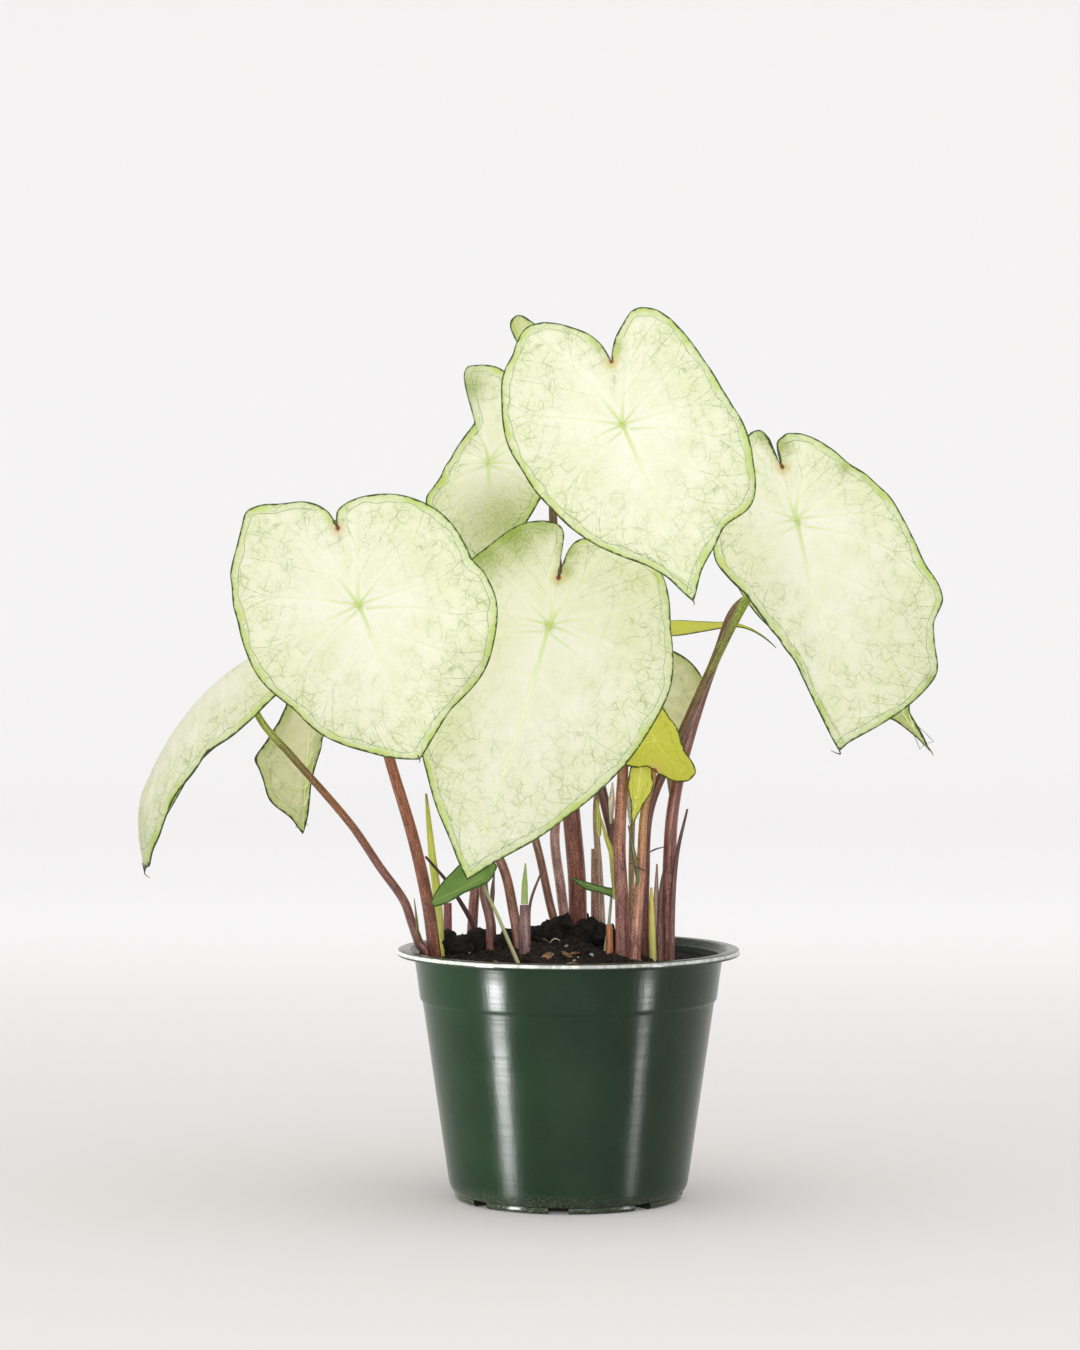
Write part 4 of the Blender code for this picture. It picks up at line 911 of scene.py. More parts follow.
@dataclass
class Venation:
    """The vein pattern of a blade: midrib, two lobe veins, side veins and their loops."""

    surface: Surface
    inset: float = 3.8
    side_starts: tuple = ((0.0, 116, 0.55), (0.0, 84, 0.5), (0.03, 58, 0.62), (0.2, 40, 0.5),
                          (0.36, 27, 0.5),
                          (0.52, 18, 0.5), (0.67, 11, 0.5), (0.8, 6, 0.5))
    lobe_starts: tuple = ((0.3, -24), (0.55, -14), (0.5, 14))
    fork_turns: tuple = ((0.62, 7.5), (0.7, -6.0), (0.83, 3.0))

    def margin_place(self, bearing: float, inset: float) -> np.ndarray:
        """A place at a bearing, this far inside the margin, mm."""
        reach = float(self.surface.margin.reach(np.array([bearing]))[0]) - inset
        return reach * np.array([math.sin(math.radians(bearing)), math.cos(math.radians(bearing))])

    def veins(self) -> list[Vein]:
        """All veins of the blade; a narrow blade has its midrib alone."""
        margin = self.surface.margin
        blade = self.surface.blade
        tip_reach = blade.right[0][1]
        found = [Vein(VeinKind.MIDRIB, bent(np.zeros(2), np.array([0.02 * tip_reach, 0.5 * tip_reach]),
                                            np.array([0.0, tip_reach - 0.8]), 30))]
        if blade.plain:
            return found
        for side, end in ((1, margin.right_end), (-1, margin.left_end)):
            sweep = min(end - 14, 158)
            lobe_end = self.margin_place(side * sweep, self.inset + 1)
            lobe_mid = 0.5 * lobe_end + side * np.array([-0.04, 0.03]) * tip_reach
            found.append(Vein(VeinKind.LOBE, bent(np.zeros(2), lobe_mid, lobe_end)))
            for start_share, end_bearing, swing in self.side_starts:
                start = np.array([0.0, start_share * tip_reach])
                finish = self.margin_place(side * end_bearing, self.inset)
                across = finish - start
                middle = start + np.array([across[0] * swing,
                                           across[1] * swing * (0.45 if across[1] > 0 else 1.2)])
                line = bent(start, middle, finish)
                found.append(Vein(VeinKind.SIDE, line))
                found += self.forks(line, side * end_bearing)
            for start_share, turn in self.lobe_starts:
                start = lobe_end * start_share
                bearing = side * min(sweep + turn, end - 4)
                finish = self.margin_place(bearing, self.inset)
                found.append(Vein(VeinKind.BRANCH, bent(start, (start * 1.25 + finish) / 2, finish, 12)))
        found.append(Vein(VeinKind.SUBMARGINAL, self.loop()))
        return found

    def forks(self, line: np.ndarray, bearing: float) -> list[Vein]:
        """Fine branches that leave a side vein for the loop on both sides of its end."""
        found = []
        for start_share, turn in self.fork_turns:
            start = line[int(start_share * (len(line) - 1))]
            finish = self.margin_place(bearing + turn, self.inset)
            lead = start + (line[-1] - start) * 0.45
            found.append(Vein(VeinKind.BRANCH, bent(start, lead, finish, 12)))
        return found

    def loop(self) -> np.ndarray:
        """The vein that runs round the blade just inside its margin."""
        bearings = self.surface.margin.bearings(2.2)
        outline = np.stack([
            self.surface.margin.reach(bearings) * np.sin(np.radians(bearings)),
            self.surface.margin.reach(bearings) * np.cos(np.radians(bearings)),
        ], 1)
        tangent = np.roll(outline, -1, 0) - np.roll(outline, 1, 0)
        inward = np.stack([-tangent[:, 1], tangent[:, 0]], 1)
        inward /= np.maximum(np.linalg.norm(inward, axis=1), 1e-9)[:, None]
        inward *= -np.sign((inward * outline).sum(1).mean())
        wobble = 1 + 0.16 * np.sin(np.radians(bearings) * 13) + 0.1 * np.sin(np.radians(bearings) * 29 + 1)
        return (outline + inward * (self.inset * wobble)[:, None])[6:-6]


def gap_to(points: np.ndarray, line: np.ndarray) -> np.ndarray:
    """Distance from each point to a line of points, mm."""
    start, step = line[:-1], np.diff(line, axis=0)
    square = np.maximum((step ** 2).sum(1), 1e-12)
    best = np.full(len(points), 1e9)
    for origin, run, size in zip(start, step, square):
        t = np.clip(((points - origin) @ run) / size, 0, 1)
        best = np.minimum(best, np.hypot(*(points - origin - t[:, None] * run).T))
    return best


@dataclass
class Leaf:
    """A leaf blade with both faces, its margin and its veins."""

    blade: Blade
    spacing: float = 1.5
    thickness: float = 0.6
    quilting: float = 0.35
    proud: float = 0.05

    def __post_init__(self) -> None:
        """Lay out the blade's face and veins."""
        self.surface = Surface(self.blade)
        self.veins = Venation(self.surface).veins()

    def grid(self) -> tuple[np.ndarray, np.ndarray, list[tuple[int, ...]], int]:
        """Places and faces of one side of the blade.

        Returns:
            Places (across, along), share of the reach, faces and the number of spokes.
        """
        margin = self.surface.margin
        small = self.blade.right[0][1] < 40
        bearings = margin.bearings(self.spacing * (0.6 if small else 1.0))
        reach = margin.reach(bearings)
        rings = max(int(reach.mean() / (self.spacing * (0.6 if small else 1.0))), 10)
        shares = (np.arange(1, rings + 1) / rings) ** 0.9
        across = np.outer(shares, reach * np.sin(np.radians(bearings)))
        along = np.outer(shares, reach * np.cos(np.radians(bearings)))
        places = np.concatenate([[[0.0, 0.0]], np.stack([across.ravel(), along.ravel()], 1)])
        share = np.concatenate([[0.0], np.repeat(shares, len(bearings))])
        count = len(bearings)
        faces: list[tuple[int, ...]] = []
        for spoke in range(count):
            following = (spoke + 1) % count
            faces.append((0, 1 + spoke, 1 + following))
            for ring in range(rings - 1):
                inner, outer = 1 + ring * count, 1 + (ring + 1) * count
                faces.append((inner + spoke, outer + spoke, outer + following, inner + following))
        return places, share, faces, count

    def normals(self, points: np.ndarray, faces: list[tuple[int, ...]]) -> np.ndarray:
        """Unit normals of the upper face at its corners."""
        total = np.zeros_like(points)
        for size in (3, 4):
            chosen = np.array([face for face in faces if len(face) == size])
            if len(chosen):
                normal = np.cross(points[chosen[:, 1]] - points[chosen[:, 0]],
                                  points[chosen[:, 2]] - points[chosen[:, 0]])
                for corner in range(size):
                    np.add.at(total, chosen[:, corner], normal)
        return total / np.maximum(np.linalg.norm(total, axis=1), 1e-12)[:, None]

    def make(self, upper: bpy.types.Material, under: bpy.types.Material,
             rim: bpy.types.Material) -> bpy.types.Object:
        """Make the blade.

        Args:
            upper: the upper face's finish.
            under: the underside's finish.
            rim: the margin's finish.

        Returns:
            The blade's piece.
        """
        places, share, faces, count = self.grid()
        points = self.surface.place(places[:, 0], places[:, 1])
        normals = self.normals(points, faces)
        if (normals @ self.surface.facing).mean() < 0:
            faces = [face[::-1] for face in faces]
            normals = -normals
        self.outline = np.concatenate([places[-count:], places[-count:][:1]])
        main, edge = self.gaps(places)
        points = points + normals * (self.swell(main, edge)[:, None] * MM)
        thick = (0.4 + (self.thickness - 0.4) * (1 - share ** 2))[:, None] * MM
        lower = points - normals * thick
        total = len(points)
        ring = list(range(total - count, total))
        under_faces = [tuple(corner + total for corner in face[::-1]) for face in faces]
        rim_faces = []
        for index in range(count):
            here, there = ring[index], ring[(index + 1) % count]
            rim_faces.append((here, there, there + total, here + total))
        if self.outward(points, lower, rim_faces[0]) < 0:
            rim_faces = [face[::-1] for face in rim_faces]
        mesh = mesh_from(self.blade.name, np.concatenate([points, lower]), faces + under_faces + rim_faces)
        numbers = [0] * len(faces) + [1] * len(under_faces) + [2] * len(rim_faces)
        mesh.polygons.foreach_set("material_index", numbers)
        self.store_fields(mesh, places, share, main, edge)
        return put(self.blade.name + "_blade", mesh, upper, under, rim)

    def gaps(self, places: np.ndarray) -> tuple[np.ndarray, np.ndarray]:
        """Distances of places to the nearest main vein and to the margin, mm."""
        main = np.full(len(places), 1e9)
        weights = {VeinKind.MIDRIB: 1.0, VeinKind.LOBE: 1.1, VeinKind.SIDE: 1.6}
        for vein in self.veins:
            if vein.kind in weights:
                main = np.minimum(main, gap_to(places, vein.points) * weights[vein.kind])
        return main, gap_to(places, self.outline)

    def swell(self, main: np.ndarray, edge: np.ndarray) -> np.ndarray:
        """How far the face stands off its plain form, mm: sunk along the veins, flat at the margin."""
        return self.quilting * ((1 - np.exp(-(main / 2.6) ** 2)) * np.clip(edge / 6, 0, 1) - 1)

    def outward(self, points: np.ndarray, lower: np.ndarray, face: tuple[int, ...]) -> float:
        """Positive if a rim face looks away from the hub."""
        corners = [
            points[index] if index < len(points) else lower[index - len(points)] for index in face[:3]
        ]
        normal = np.cross(corners[1] - corners[0], corners[2] - corners[0])
        return float(normal @ (corners[0] - points[0]))

    def store_fields(self, mesh: bpy.types.Mesh, places: np.ndarray, share: np.ndarray, main: np.ndarray,
                     edge: np.ndarray) -> None:
        """Keep what the finishes read: the layout map, distances and the painted shade spots."""
        # Soft greener spots: painted shade where overlapping blades shade the blade.
        green = np.zeros(len(places))
        for across, along, size, strength in self.blade.shade_greens:
            gap = np.hypot(places[:, 0] - across, places[:, 1] - along)
            green = np.maximum(green, strength * np.exp(-(gap / size) ** 2))
        end = self.surface.margin.right_end
        reach = float(self.surface.margin.reach(np.array([end]))[0])
        notch = np.array([math.sin(math.radians(end)), math.cos(math.radians(end))]) * reach
        scar = np.hypot(*(places - notch).T) + (20.0 if self.blade.plain else 0.0)
        for name, values in (("edge", edge), ("vein", main), ("share", share), ("green", green),
                             ("scar", scar),
                             ("lime", np.full(len(places), self.blade.lime))):
            store(mesh, name, np.concatenate([values, values]))
        layer = mesh.uv_layers.new(name="layout")
        corners = np.empty(len(mesh.loops), np.int32)
        mesh.loops.foreach_get("vertex_index", corners)
        layout = np.concatenate([places, places])[corners] / 100
        layer.uv.foreach_set("vector", layout.astype(np.float32).ravel())

    def make_veins(self, tubes: TubeTool, finish: bpy.types.Material) -> bpy.types.Object:
        """Make the raised veins, flush above and standing proud below.

        Args:
            tubes: the tool that sweeps them.
            finish: their finish.

        Returns:
            The veins' piece.
        """
        paths, radii, tones = [], [], []
        small = self.blade.right[0][1] < 40
        for vein in self.veins:
            points = self.surface.place(vein.points[:, 0], vein.points[:, 1])
            step = 0.6
            ahead = self.surface.place(vein.points[:, 0], vein.points[:, 1] + step) - points
            beside = self.surface.place(vein.points[:, 0] + step, vein.points[:, 1]) - points
            normal = np.cross(beside, ahead)
            normal /= np.maximum(np.linalg.norm(normal, axis=1), 1e-12)[:, None]
            if (normal @ self.surface.facing).mean() < 0:
                normal = -normal
            start, end = vein.kind.value
            run = np.linspace(0, 1, len(points))
            radius = (start + (end - start) * run ** 0.7) * (0.55 if small else 1.0)
            main, edge = self.gaps(vein.points)
            raised = self.swell(main, edge) + self.proud - radius
            paths.append(points + normal * (raised[:, None] * MM))
            radii.append(radius)
            low, high = vein.tones
            tones.append(low + (high - low) * run)
        source = path_mesh(self.blade.name, paths, radii, {"tone": tones})
        return tubes.run(self.blade.name + "_veins", source, Sides=6, Material=finish)


def hair_at_tip(leaf: Leaf, tubes: TubeTool, finish: bpy.types.Material, length: float,
                bend: tuple[float, float, float]) -> bpy.types.Object:
    """Make the dry hair that a blade's tip ends in.

    Args:
        leaf: the blade.
        tubes: the tool that sweeps it.
        finish: its finish.
        length: how far it goes on past the tip, mm.
        bend: how far its end is carried off its line, mm.

    Returns:
        Its piece.
    """
    reach = leaf.blade.right[0][1]
    inner, tip = leaf.surface.place(np.array([0.0, 0.0]), np.array([reach - 2.0, reach - 0.2])) / MM
    inner, tip = (point - leaf.surface.facing * 0.45 for point in (inner, tip))
    ahead = (tip - inner) / np.linalg.norm(tip - inner)
    middle, end = tip + ahead * length * 0.5, tip + ahead * length * 0.75 + np.array(bend)
    points = tuple(tuple(map(float, point)) for point in (inner, tip, middle, end))
    return Wisp(leaf.blade.name + "_hair", points, (0.4, 0.36, 0.26, 0.12), "").make(tubes, finish)


def path_mesh(name: str, paths: list[np.ndarray], radii: list[np.ndarray],
              fields: dict[str, list[np.ndarray]]) -> bpy.types.Mesh:
    """Make a mesh of edges for the tube tool.

    Args:
        name: the mesh's name.
        paths: the points of each path, m.
        radii: radius at each point, mm.
        fields: more numbers at each point, by name.

    Returns:
        The mesh of edges.
    """
    mesh = bpy.data.meshes.new(name + "_paths")
    edges, count = [], 0
    for path in paths:
        edges += [(count + index, count + index + 1) for index in range(len(path) - 1)]
        count += len(path)
    mesh.from_pydata([tuple(map(float, point)) for path in paths for point in path], edges, [])
    store(mesh, "radius_mm", np.concatenate(radii))
    for label, values in fields.items():
        store(mesh, label, np.concatenate(values))
    return mesh


# ---------------------------------------------------------------- stems


def soil_level(x: float, y: float) -> float:
    """Height of the soil's top at a place, mm."""
    share = min(math.hypot(x, y) / 74.2, 1.0)
    off = math.hypot(x - SOIL_HEAP_PLACE[0], y - SOIL_HEAP_PLACE[1]) / SOIL_HEAP_SPREAD
    lumps = 1.8 * math.sin(0.13 * x + 1.1) * math.cos(0.11 * y - 0.4) + 0.9 * math.sin(0.29 * x + 0.21 * y)
    return SOIL_EDGE_Z + SOIL_HEAP * math.exp(-off ** 2 / 2) + lumps * (1.0 - share ** 2)


@dataclass
class StemBuilder:
    """Makes a stem on its smooth path, up to the blade that it holds."""

    stem: Stem
    surfaces: dict[str, Surface]

    def path(self) -> np.ndarray:
        """Points along the stem, m."""
        stem = self.stem
        x, y = stem.root
        ground = Vector((x, y, soil_level(x, y)))
        heading = (Vector(stem.way[0]) - ground).normalized()
        root = (ground - heading * (HOLE_DEPTH / heading.z)) * MM
        start = (ground + heading * STEM_STRAIGHT) * MM
        knots = [start] + [Vector(point) * MM for point in stem.way]
        arrival = None
        if stem.holds:
            surface = self.surfaces[stem.holds]
            arrival = surface.hub_normal()
            knots.append((Vector(surface.blade.hub) - arrival * STEM_CLEARANCE) * MM)
        headings = [(start - root).normalized()]
        for before, after in zip(knots, knots[2:]):
            headings.append((after - before).normalized())
        headings.append(arrival or (knots[-1] - knots[-2]).normalized())
        path = [root, start]
        for index in range(len(knots) - 1):
            here, there = knots[index], knots[index + 1]
            pull = (there - here).length / 3
            curve = interpolate_bezier(
                here, here + headings[index] * pull, there - headings[index + 1] * pull, there,
                STEM_STEPS + 1
            )
            path.extend(curve[1:])
        if arrival:
            path.append((Vector(self.surfaces[stem.holds].blade.hub) - arrival * 0.7) * MM)
        return np.array([tuple(point) for point in path])

    def make(self, tubes: TubeTool, finish: bpy.types.Material) -> bpy.types.Object:
        """Make the stem.

        Args:
            tubes: the tool that sweeps it.
            finish: its finish.

        Returns:
            The stem's piece.
        """
        path = self.path()
        lengths = np.concatenate([[0], np.cumsum(np.linalg.norm(np.diff(path, axis=0), axis=1))])
        foot, top = self.stem.radii
        share = np.maximum(lengths - lengths[1], 0) / (lengths[-1] - lengths[1])
        radius = foot + (top - foot) * share ** self.stem.taper
        fields = {"along": [lengths / MM], "share": [share]}
        source = path_mesh(self.stem.name, [path], [radius], fields)
        return tubes.run(self.stem.name + "_rod", source, Sides=20, Material=finish)


# ---------------------------------------------------------------- pot and soil


@dataclass
class Pot:
    """The nursery pot: a turned wall with a rolled rim, a stepped collar and drain slots."""

    height: float = 120.0
    wall: float = 1.2
    steps: int = 144
    slots: int = 8

    def profile(self) -> list[Station]:
        """The section, from the middle of the floor over the rim to the middle of the underside."""
        return [
            (0.0, 1.4), (51.2, 1.4), (52.3, 1.9), (53.0, 2.7), (53.2, 3.4), (54.8, 8.2), (57.0, 12.0),
            (60.3, 34.0),
            (63.6, 56.0), (67.0, 79.0), (69.2, 95.6), (70.0, 96.6), (70.4, 97.6), (71.6, 107.0),
            (73.0, 116.7),
            (75.0, 117.2), (75.5, 117.5), (76.1, 119.3), (76.6, 119.9), (77.4, 120.0), (81.2, 120.0),
            (82.0, 119.7), (82.4, 119.1), (82.5, 118.3), (82.4, 117.6), (82.0, 117.1), (75.6, 116.8),
            (74.6, 116.5),
            (74.1, 115.6), (72.8, 106.5), (71.6, 97.2), (71.4, 96.2), (71.0, 95.5), (70.4, 94.9),
            (70.1, 94.0),
            (66.6, 70.0), (62.9, 44.5), (59.2, 19.0), (58.2, 12.0), (57.9, 10.2), (57.6, 8.0), (56.8, 5.7),
            (55.7, 4.0), (54.8, 3.2), (54.5, 2.9), (54.6, 2.6), (54.9, 2.0), (54.8, 1.2), (54.0, 0.4),
            (52.6, 0.0), (0.0, 0.0),
        ]

    def make(self, finish: bpy.types.Material) -> bpy.types.Object:
        """Turn the section, cut the slots and dress the pot.

        Args:
            finish: the plastic.

        Returns:
            The pot's piece.
        """
        profile = self.profile()
        inner = profile[1:-1]
        points = [(0.0, 0.0, profile[0][1]), (0.0, 0.0, profile[-1][1])]
        for step in range(self.steps):
            turn = 2 * math.pi * step / self.steps
            points += [(r * math.cos(turn), r * math.sin(turn), z) for r, z in inner]
        count = len(inner)
        faces: list[tuple[int, ...]] = []
        for step in range(self.steps):
            here, there = 2 + step * count, 2 + (step + 1) % self.steps * count
            faces.append((0, here, there))
            faces.append((1, there + count - 1, here + count - 1))
            faces += [(here + k, here + k + 1, there + k + 1, there + k) for k in range(count - 1)]
        mesh = mesh_from("pot", np.array(points) * MM, faces)
        fixed = bmesh.new()
        fixed.from_mesh(mesh)
        bmesh.ops.recalc_face_normals(fixed, faces=fixed.faces)
        fixed.to_mesh(mesh)
        fixed.free()
        pot = put("pot_turned", mesh, finish)
        cutters = bpy.data.collections.new("drain_slots")
        for index in range(self.slots):
            cutters.objects.link(self.slot_cutter(index))
        cut = pot.modifiers.new("Drain", "BOOLEAN")
        cut.operand_type = "COLLECTION"
        cut.collection = cutters
        cut.solver = "EXACT"
        depsgraph = bpy.context.evaluated_depsgraph_get()
        depsgraph.update()
        mesh = bpy.data.meshes.new_from_object(pot.evaluated_get(depsgraph))
        bpy.data.objects.remove(pot)
        for cutter in list(cutters.objects):
            bpy.data.objects.remove(cutter)
        bpy.data.collections.remove(cutters)
        made = bpy.data.objects.new("pot_shell", mesh)
        bpy.context.scene.collection.objects.link(made)
        mesh.shade_smooth()
        mesh.set_sharp_from_angle(angle=math.radians(50))
        return made

    def slot_cutter(self, index: int) -> bpy.types.Object:
        """A box across the foot of the wall, for one drain slot."""
        heading = math.radians(-95 + index * 360 / self.slots)
        cube = bmesh.new()
        bmesh.ops.create_cube(cube, size=1.0)
        for vert in cube.verts:
            out, across = 52.0 + vert.co.x * 14.0, vert.co.y * 9.5
            height = 3.2 if vert.co.z > 0 else -2.0
            vert.co = Vector((
                out * math.cos(heading) - across * math.sin(heading),
                out * math.sin(heading) + across * math.cos(heading), height,
            )) * MM
        mesh = bpy.data.meshes.new("drain_slot")
        cube.to_mesh(mesh)
        cube.free()
        return bpy.data.objects.new(f"drain_slot_{index}", mesh)


@dataclass
class Soil:
    """The potting mix: a heaped top with lumps, closed below."""

    radius: float = 72.0
    rings: int = 60
    spokes: int = 180

    def make(self, finish: bpy.types.Material) -> bpy.types.Object:
        """Make the body of the soil.

        Args:
            finish: the soil's finish.

        Returns:
            The soil's piece.
        """
        points = [(0.0, 0.0, soil_level(0, 0))]
        for ring in range(1, self.rings + 1):
            radius = self.radius * ring / self.rings
            for spoke in range(self.spokes):
                turn = 2 * math.pi * spoke / self.spokes
                x, y = radius * math.cos(turn), radius * math.sin(turn)
                points.append((x, y, soil_level(x, y)))
        side = ((71.4, 110.0), (70.0, 97.1), (68.9, 95.7), (56.7, 12.4), (52.7, 3.8), (50.9, 1.7))
        for radius, height in side:
            for spoke in range(self.spokes):
                turn = 2 * math.pi * spoke / self.spokes
                points.append((radius * math.cos(turn), radius * math.sin(turn), height))
        points.append((0.0, 0.0, 1.7))
        last = len(points) - 1
        faces: list[tuple[int, ...]] = []
        levels = self.rings + len(side)
        for spoke in range(self.spokes):
            following = (spoke + 1) % self.spokes
            faces.append((0, 1 + spoke, 1 + following))
            for level in range(levels - 1):
                inner, outer = 1 + level * self.spokes, 1 + (level + 1) * self.spokes
                faces.append((inner + spoke, outer + spoke, outer + following, inner + following))
            foot = 1 + (levels - 1) * self.spokes
            faces.append((foot + spoke, last, foot + following))
        return put("soil_mix", mesh_from("soil_mix", np.array(points) * MM, faces), finish)


# ---------------------------------------------------------------- finishes


@dataclass(frozen=True)
class LeafFinish:
    """A thin living blade: pale between its veins, with a fine net outside and a dark margin."""

    name: str
    pale: tuple = (247, 247, 240)
    tint: tuple = (237, 241, 212)
    band: tuple = (208, 224, 128)
    net: tuple = (136, 170, 62)
    hub: tuple = (186, 206, 96)
    margin: tuple = (44, 78, 18)
    # Colour of the painted shade spots, also the lime of young blades; then the darker speckle painted
    # inside that shade.
    shade_and_lime: tuple = (172, 188, 74)
    deep: tuple = (104, 138, 44)
    net_strength: float = 0.52
    rough: float = 0.42
    through: float = 0.45

    def network(self, tree: Tree, layout: Socket, scale: float, width: float) -> Socket:
        """Thin lines between cells, as the finest veins.

        Args:
            tree: the material's tree.
            layout: the blade's layout map.
            scale: cells in 100 mm.
            width: line width as a share of a cell.

        Returns:
            1 on a line and 0 off it.
        """
        bend = tree.node("ShaderNodeTexNoise")
        tree.feed(bend.inputs["Vector"], layout)
        bend.inputs["Scale"].default_value = scale * 0.8
        bend.inputs["Detail"].default_value = 2.0
        shift = tree.node("ShaderNodeVectorMath", operation="MULTIPLY_ADD")
        tree.feed(shift.inputs[0], bend.outputs["Color"])
        shift.inputs[1].default_value = (0.9 / scale,) * 3
        tree.feed(shift.inputs[2], layout)
        cells = tree.node("ShaderNodeTexVoronoi", feature="DISTANCE_TO_EDGE")
        tree.feed(cells.inputs["Vector"], shift.outputs[0])
        cells.inputs["Scale"].default_value = scale
        return tree.span(cells.outputs["Distance"], 0.0, width, 1.0, 0.0)

    def make(self) -> bpy.types.Material:
        """Build the finish."""
        material, tree, shader = new_material(self.name)
        fields = {}
        for name in ("edge", "vein", "share", "green", "scar", "lime"):
            fields[name] = tree.node("ShaderNodeAttribute", attribute_name=name).outputs["Fac"]
        layout = tree.node("ShaderNodeUVMap", uv_map="layout").outputs["UV"]
        broad = tree.noise(layout, 4.0, 3.0, 0.55)
        patches = tree.noise(layout, 11.0, 3.0, 0.6)
        grain = tree.noise(layout, 90.0, 3.0, 0.65)
        outer = tree.span(fields["share"], 0.3, 0.98)
        colour = tree.blend(tree.span(broad, 0.35, 0.72, 0.0, 0.8), srgb(*self.pale), srgb(*self.tint))
        spread = tree.maths("MULTIPLY", outer, tree.span(patches, 0.32, 0.66, 0.25, 0.95))
        colour = tree.blend(spread, colour, srgb(*self.tint))
        colour = tree.blend(tree.span(grain, 0.35, 0.75, 0.0, 0.3), colour, srgb(*self.tint))
        coarse = self.network(tree, layout, 17.0, 0.055)
        fine = self.network(tree, layout, 46.0, 0.1)
        lines = tree.maths("MAXIMUM", coarse, tree.maths("MULTIPLY", fine, 0.55))
        patchy = tree.maths("MULTIPLY", tree.span(patches, 0.38, 0.62, 0.1, 1.0),
                            tree.span(fields["share"], 0.25, 0.85, 0.12, 1.0))
        net = tree.maths("MULTIPLY", tree.maths("MULTIPLY", lines, patchy), self.net_strength)
        colour = tree.blend(net, colour, srgb(*self.net))
        beside = tree.maths("MULTIPLY", tree.span(fields["vein"], 1.2, 5.5, 0.75, 0.0),
                            tree.span(fields["share"], 0.05, 0.9, 1.0, 0.3))
        colour = tree.blend(beside, colour, srgb(*self.pale))
        near_hub = tree.span(fields["share"], 0.0, 0.34, 0.6, 0.1)
        glow = tree.maths("MULTIPLY", tree.span(fields["vein"], 0.1, 1.5, 1.0, 0.0), near_hub)
        colour = tree.blend(glow, colour, srgb(*self.hub))
        star = tree.span(fields["share"], 0.0, 0.055, 0.85, 0.0)
        colour = tree.blend(star, colour, srgb(*self.hub))
        wander = tree.maths("ADD", fields["edge"], tree.span(patches, 0.3, 0.7, -1.6, 1.6))
        vivid = tree.span(broad, 0.36, 0.62, 0.3, 0.92)
        colour = tree.blend(tree.maths("MULTIPLY", tree.span(wander, 0.6, 4.6, 1.0, 0.0), vivid), colour,
                            srgb(*self.band))
        # Painted shade: soft greener spots where overlapping blades shade the blade, speckled darker
        # inside.
        colour = tree.blend(fields["green"], colour, srgb(*self.shade_and_lime))
        deep = tree.maths("MULTIPLY", fields["green"], tree.span(grain, 0.42, 0.6, 0.0, 0.5))
        colour = tree.blend(deep, colour, srgb(*self.deep))
        # Lime blades are tinted with the same colour, as their own yellow-green.
        colour = tree.blend(tree.span(fields["lime"], 0.0, 1.0, 0.0, 1.0), colour, srgb(*self.shade_and_lime))
        flush = tree.span(fields["scar"], 1.2, 6.0, 0.35, 0.0)
        colour = tree.blend(flush, colour, srgb(236, 196, 160))
        ragged = tree.maths("ADD", fields["edge"],
                            tree.span(tree.noise(layout, 30.0, 2.0), 0.3, 0.7, -0.28, 0.28))
        colour = tree.blend(tree.span(ragged, 0.35, 0.95, 0.92, 0.0), colour, srgb(*self.margin))
        colour = tree.blend(tree.span(fields["scar"], 0.9, 1.7, 0.9, 0.0), colour, srgb(150, 74, 50))
        tree.feed(shader.inputs["Base Color"], colour)
        tree.feed(shader.inputs["Roughness"], tree.span(grain, 0.3, 0.7, self.rough - 0.06,
                                                        self.rough + 0.12))
        shader.inputs["Specular IOR Level"].default_value = 0.35
        height = tree.maths("ADD", tree.maths("MULTIPLY", grain, 0.35), tree.maths("MULTIPLY", lines, -0.6))
        normal = tree.bump(height, 0.00022, 0.7)
        tree.feed(shader.inputs["Normal"], normal)
        through = tree.node("ShaderNodeBsdfTranslucent")
        tree.feed(through.inputs["Color"], colour)
        mix = tree.node("ShaderNodeMixShader")
        mix.inputs[0].default_value = self.through
        tree.feed(mix.inputs[1], shader.outputs[0])
        tree.feed(mix.inputs[2], through.outputs[0])
        tree.feed(material.node_tree.nodes["Material Output"].inputs["Surface"], mix.outputs[0])
        return material


@dataclass(frozen=True)
class VeinFinish:
    """Veins of a blade, from pale at the hub to dark green in the outer net."""

    name: str
    hub: tuple = (228, 236, 176)
    middle: tuple = (216, 228, 158)
    dark: tuple = (92, 126, 44)

    def make(self) -> bpy.types.Material:
        """Build the finish."""
        material, tree, shader = new_material(self.name)
        tone = tree.node("ShaderNodeAttribute", attribute_name="tone").outputs["Fac"]
        place = tree.node("ShaderNodeTexCoord").outputs["Object"]
        mottle = tree.noise(place, 420.0, 2.0, 0.6)
        shifted = tree.maths("ADD", tone, tree.span(mottle, 0.3, 0.7, -0.3, 0.22))
        colour = tree.blend(tree.span(shifted, 0.0, 0.4), srgb(*self.hub), srgb(*self.middle))
        colour = tree.blend(tree.span(shifted, 0.4, 1.0, 0.0, 0.9), colour, srgb(*self.dark))
        tree.feed(shader.inputs["Base Color"], colour)
        tree.feed(shader.inputs["Roughness"], tree.span(mottle, 0.3, 0.7, 0.38, 0.55))
        tree.feed(shader.inputs["Normal"], tree.bump(mottle, 0.0001, 0.5))
        return material


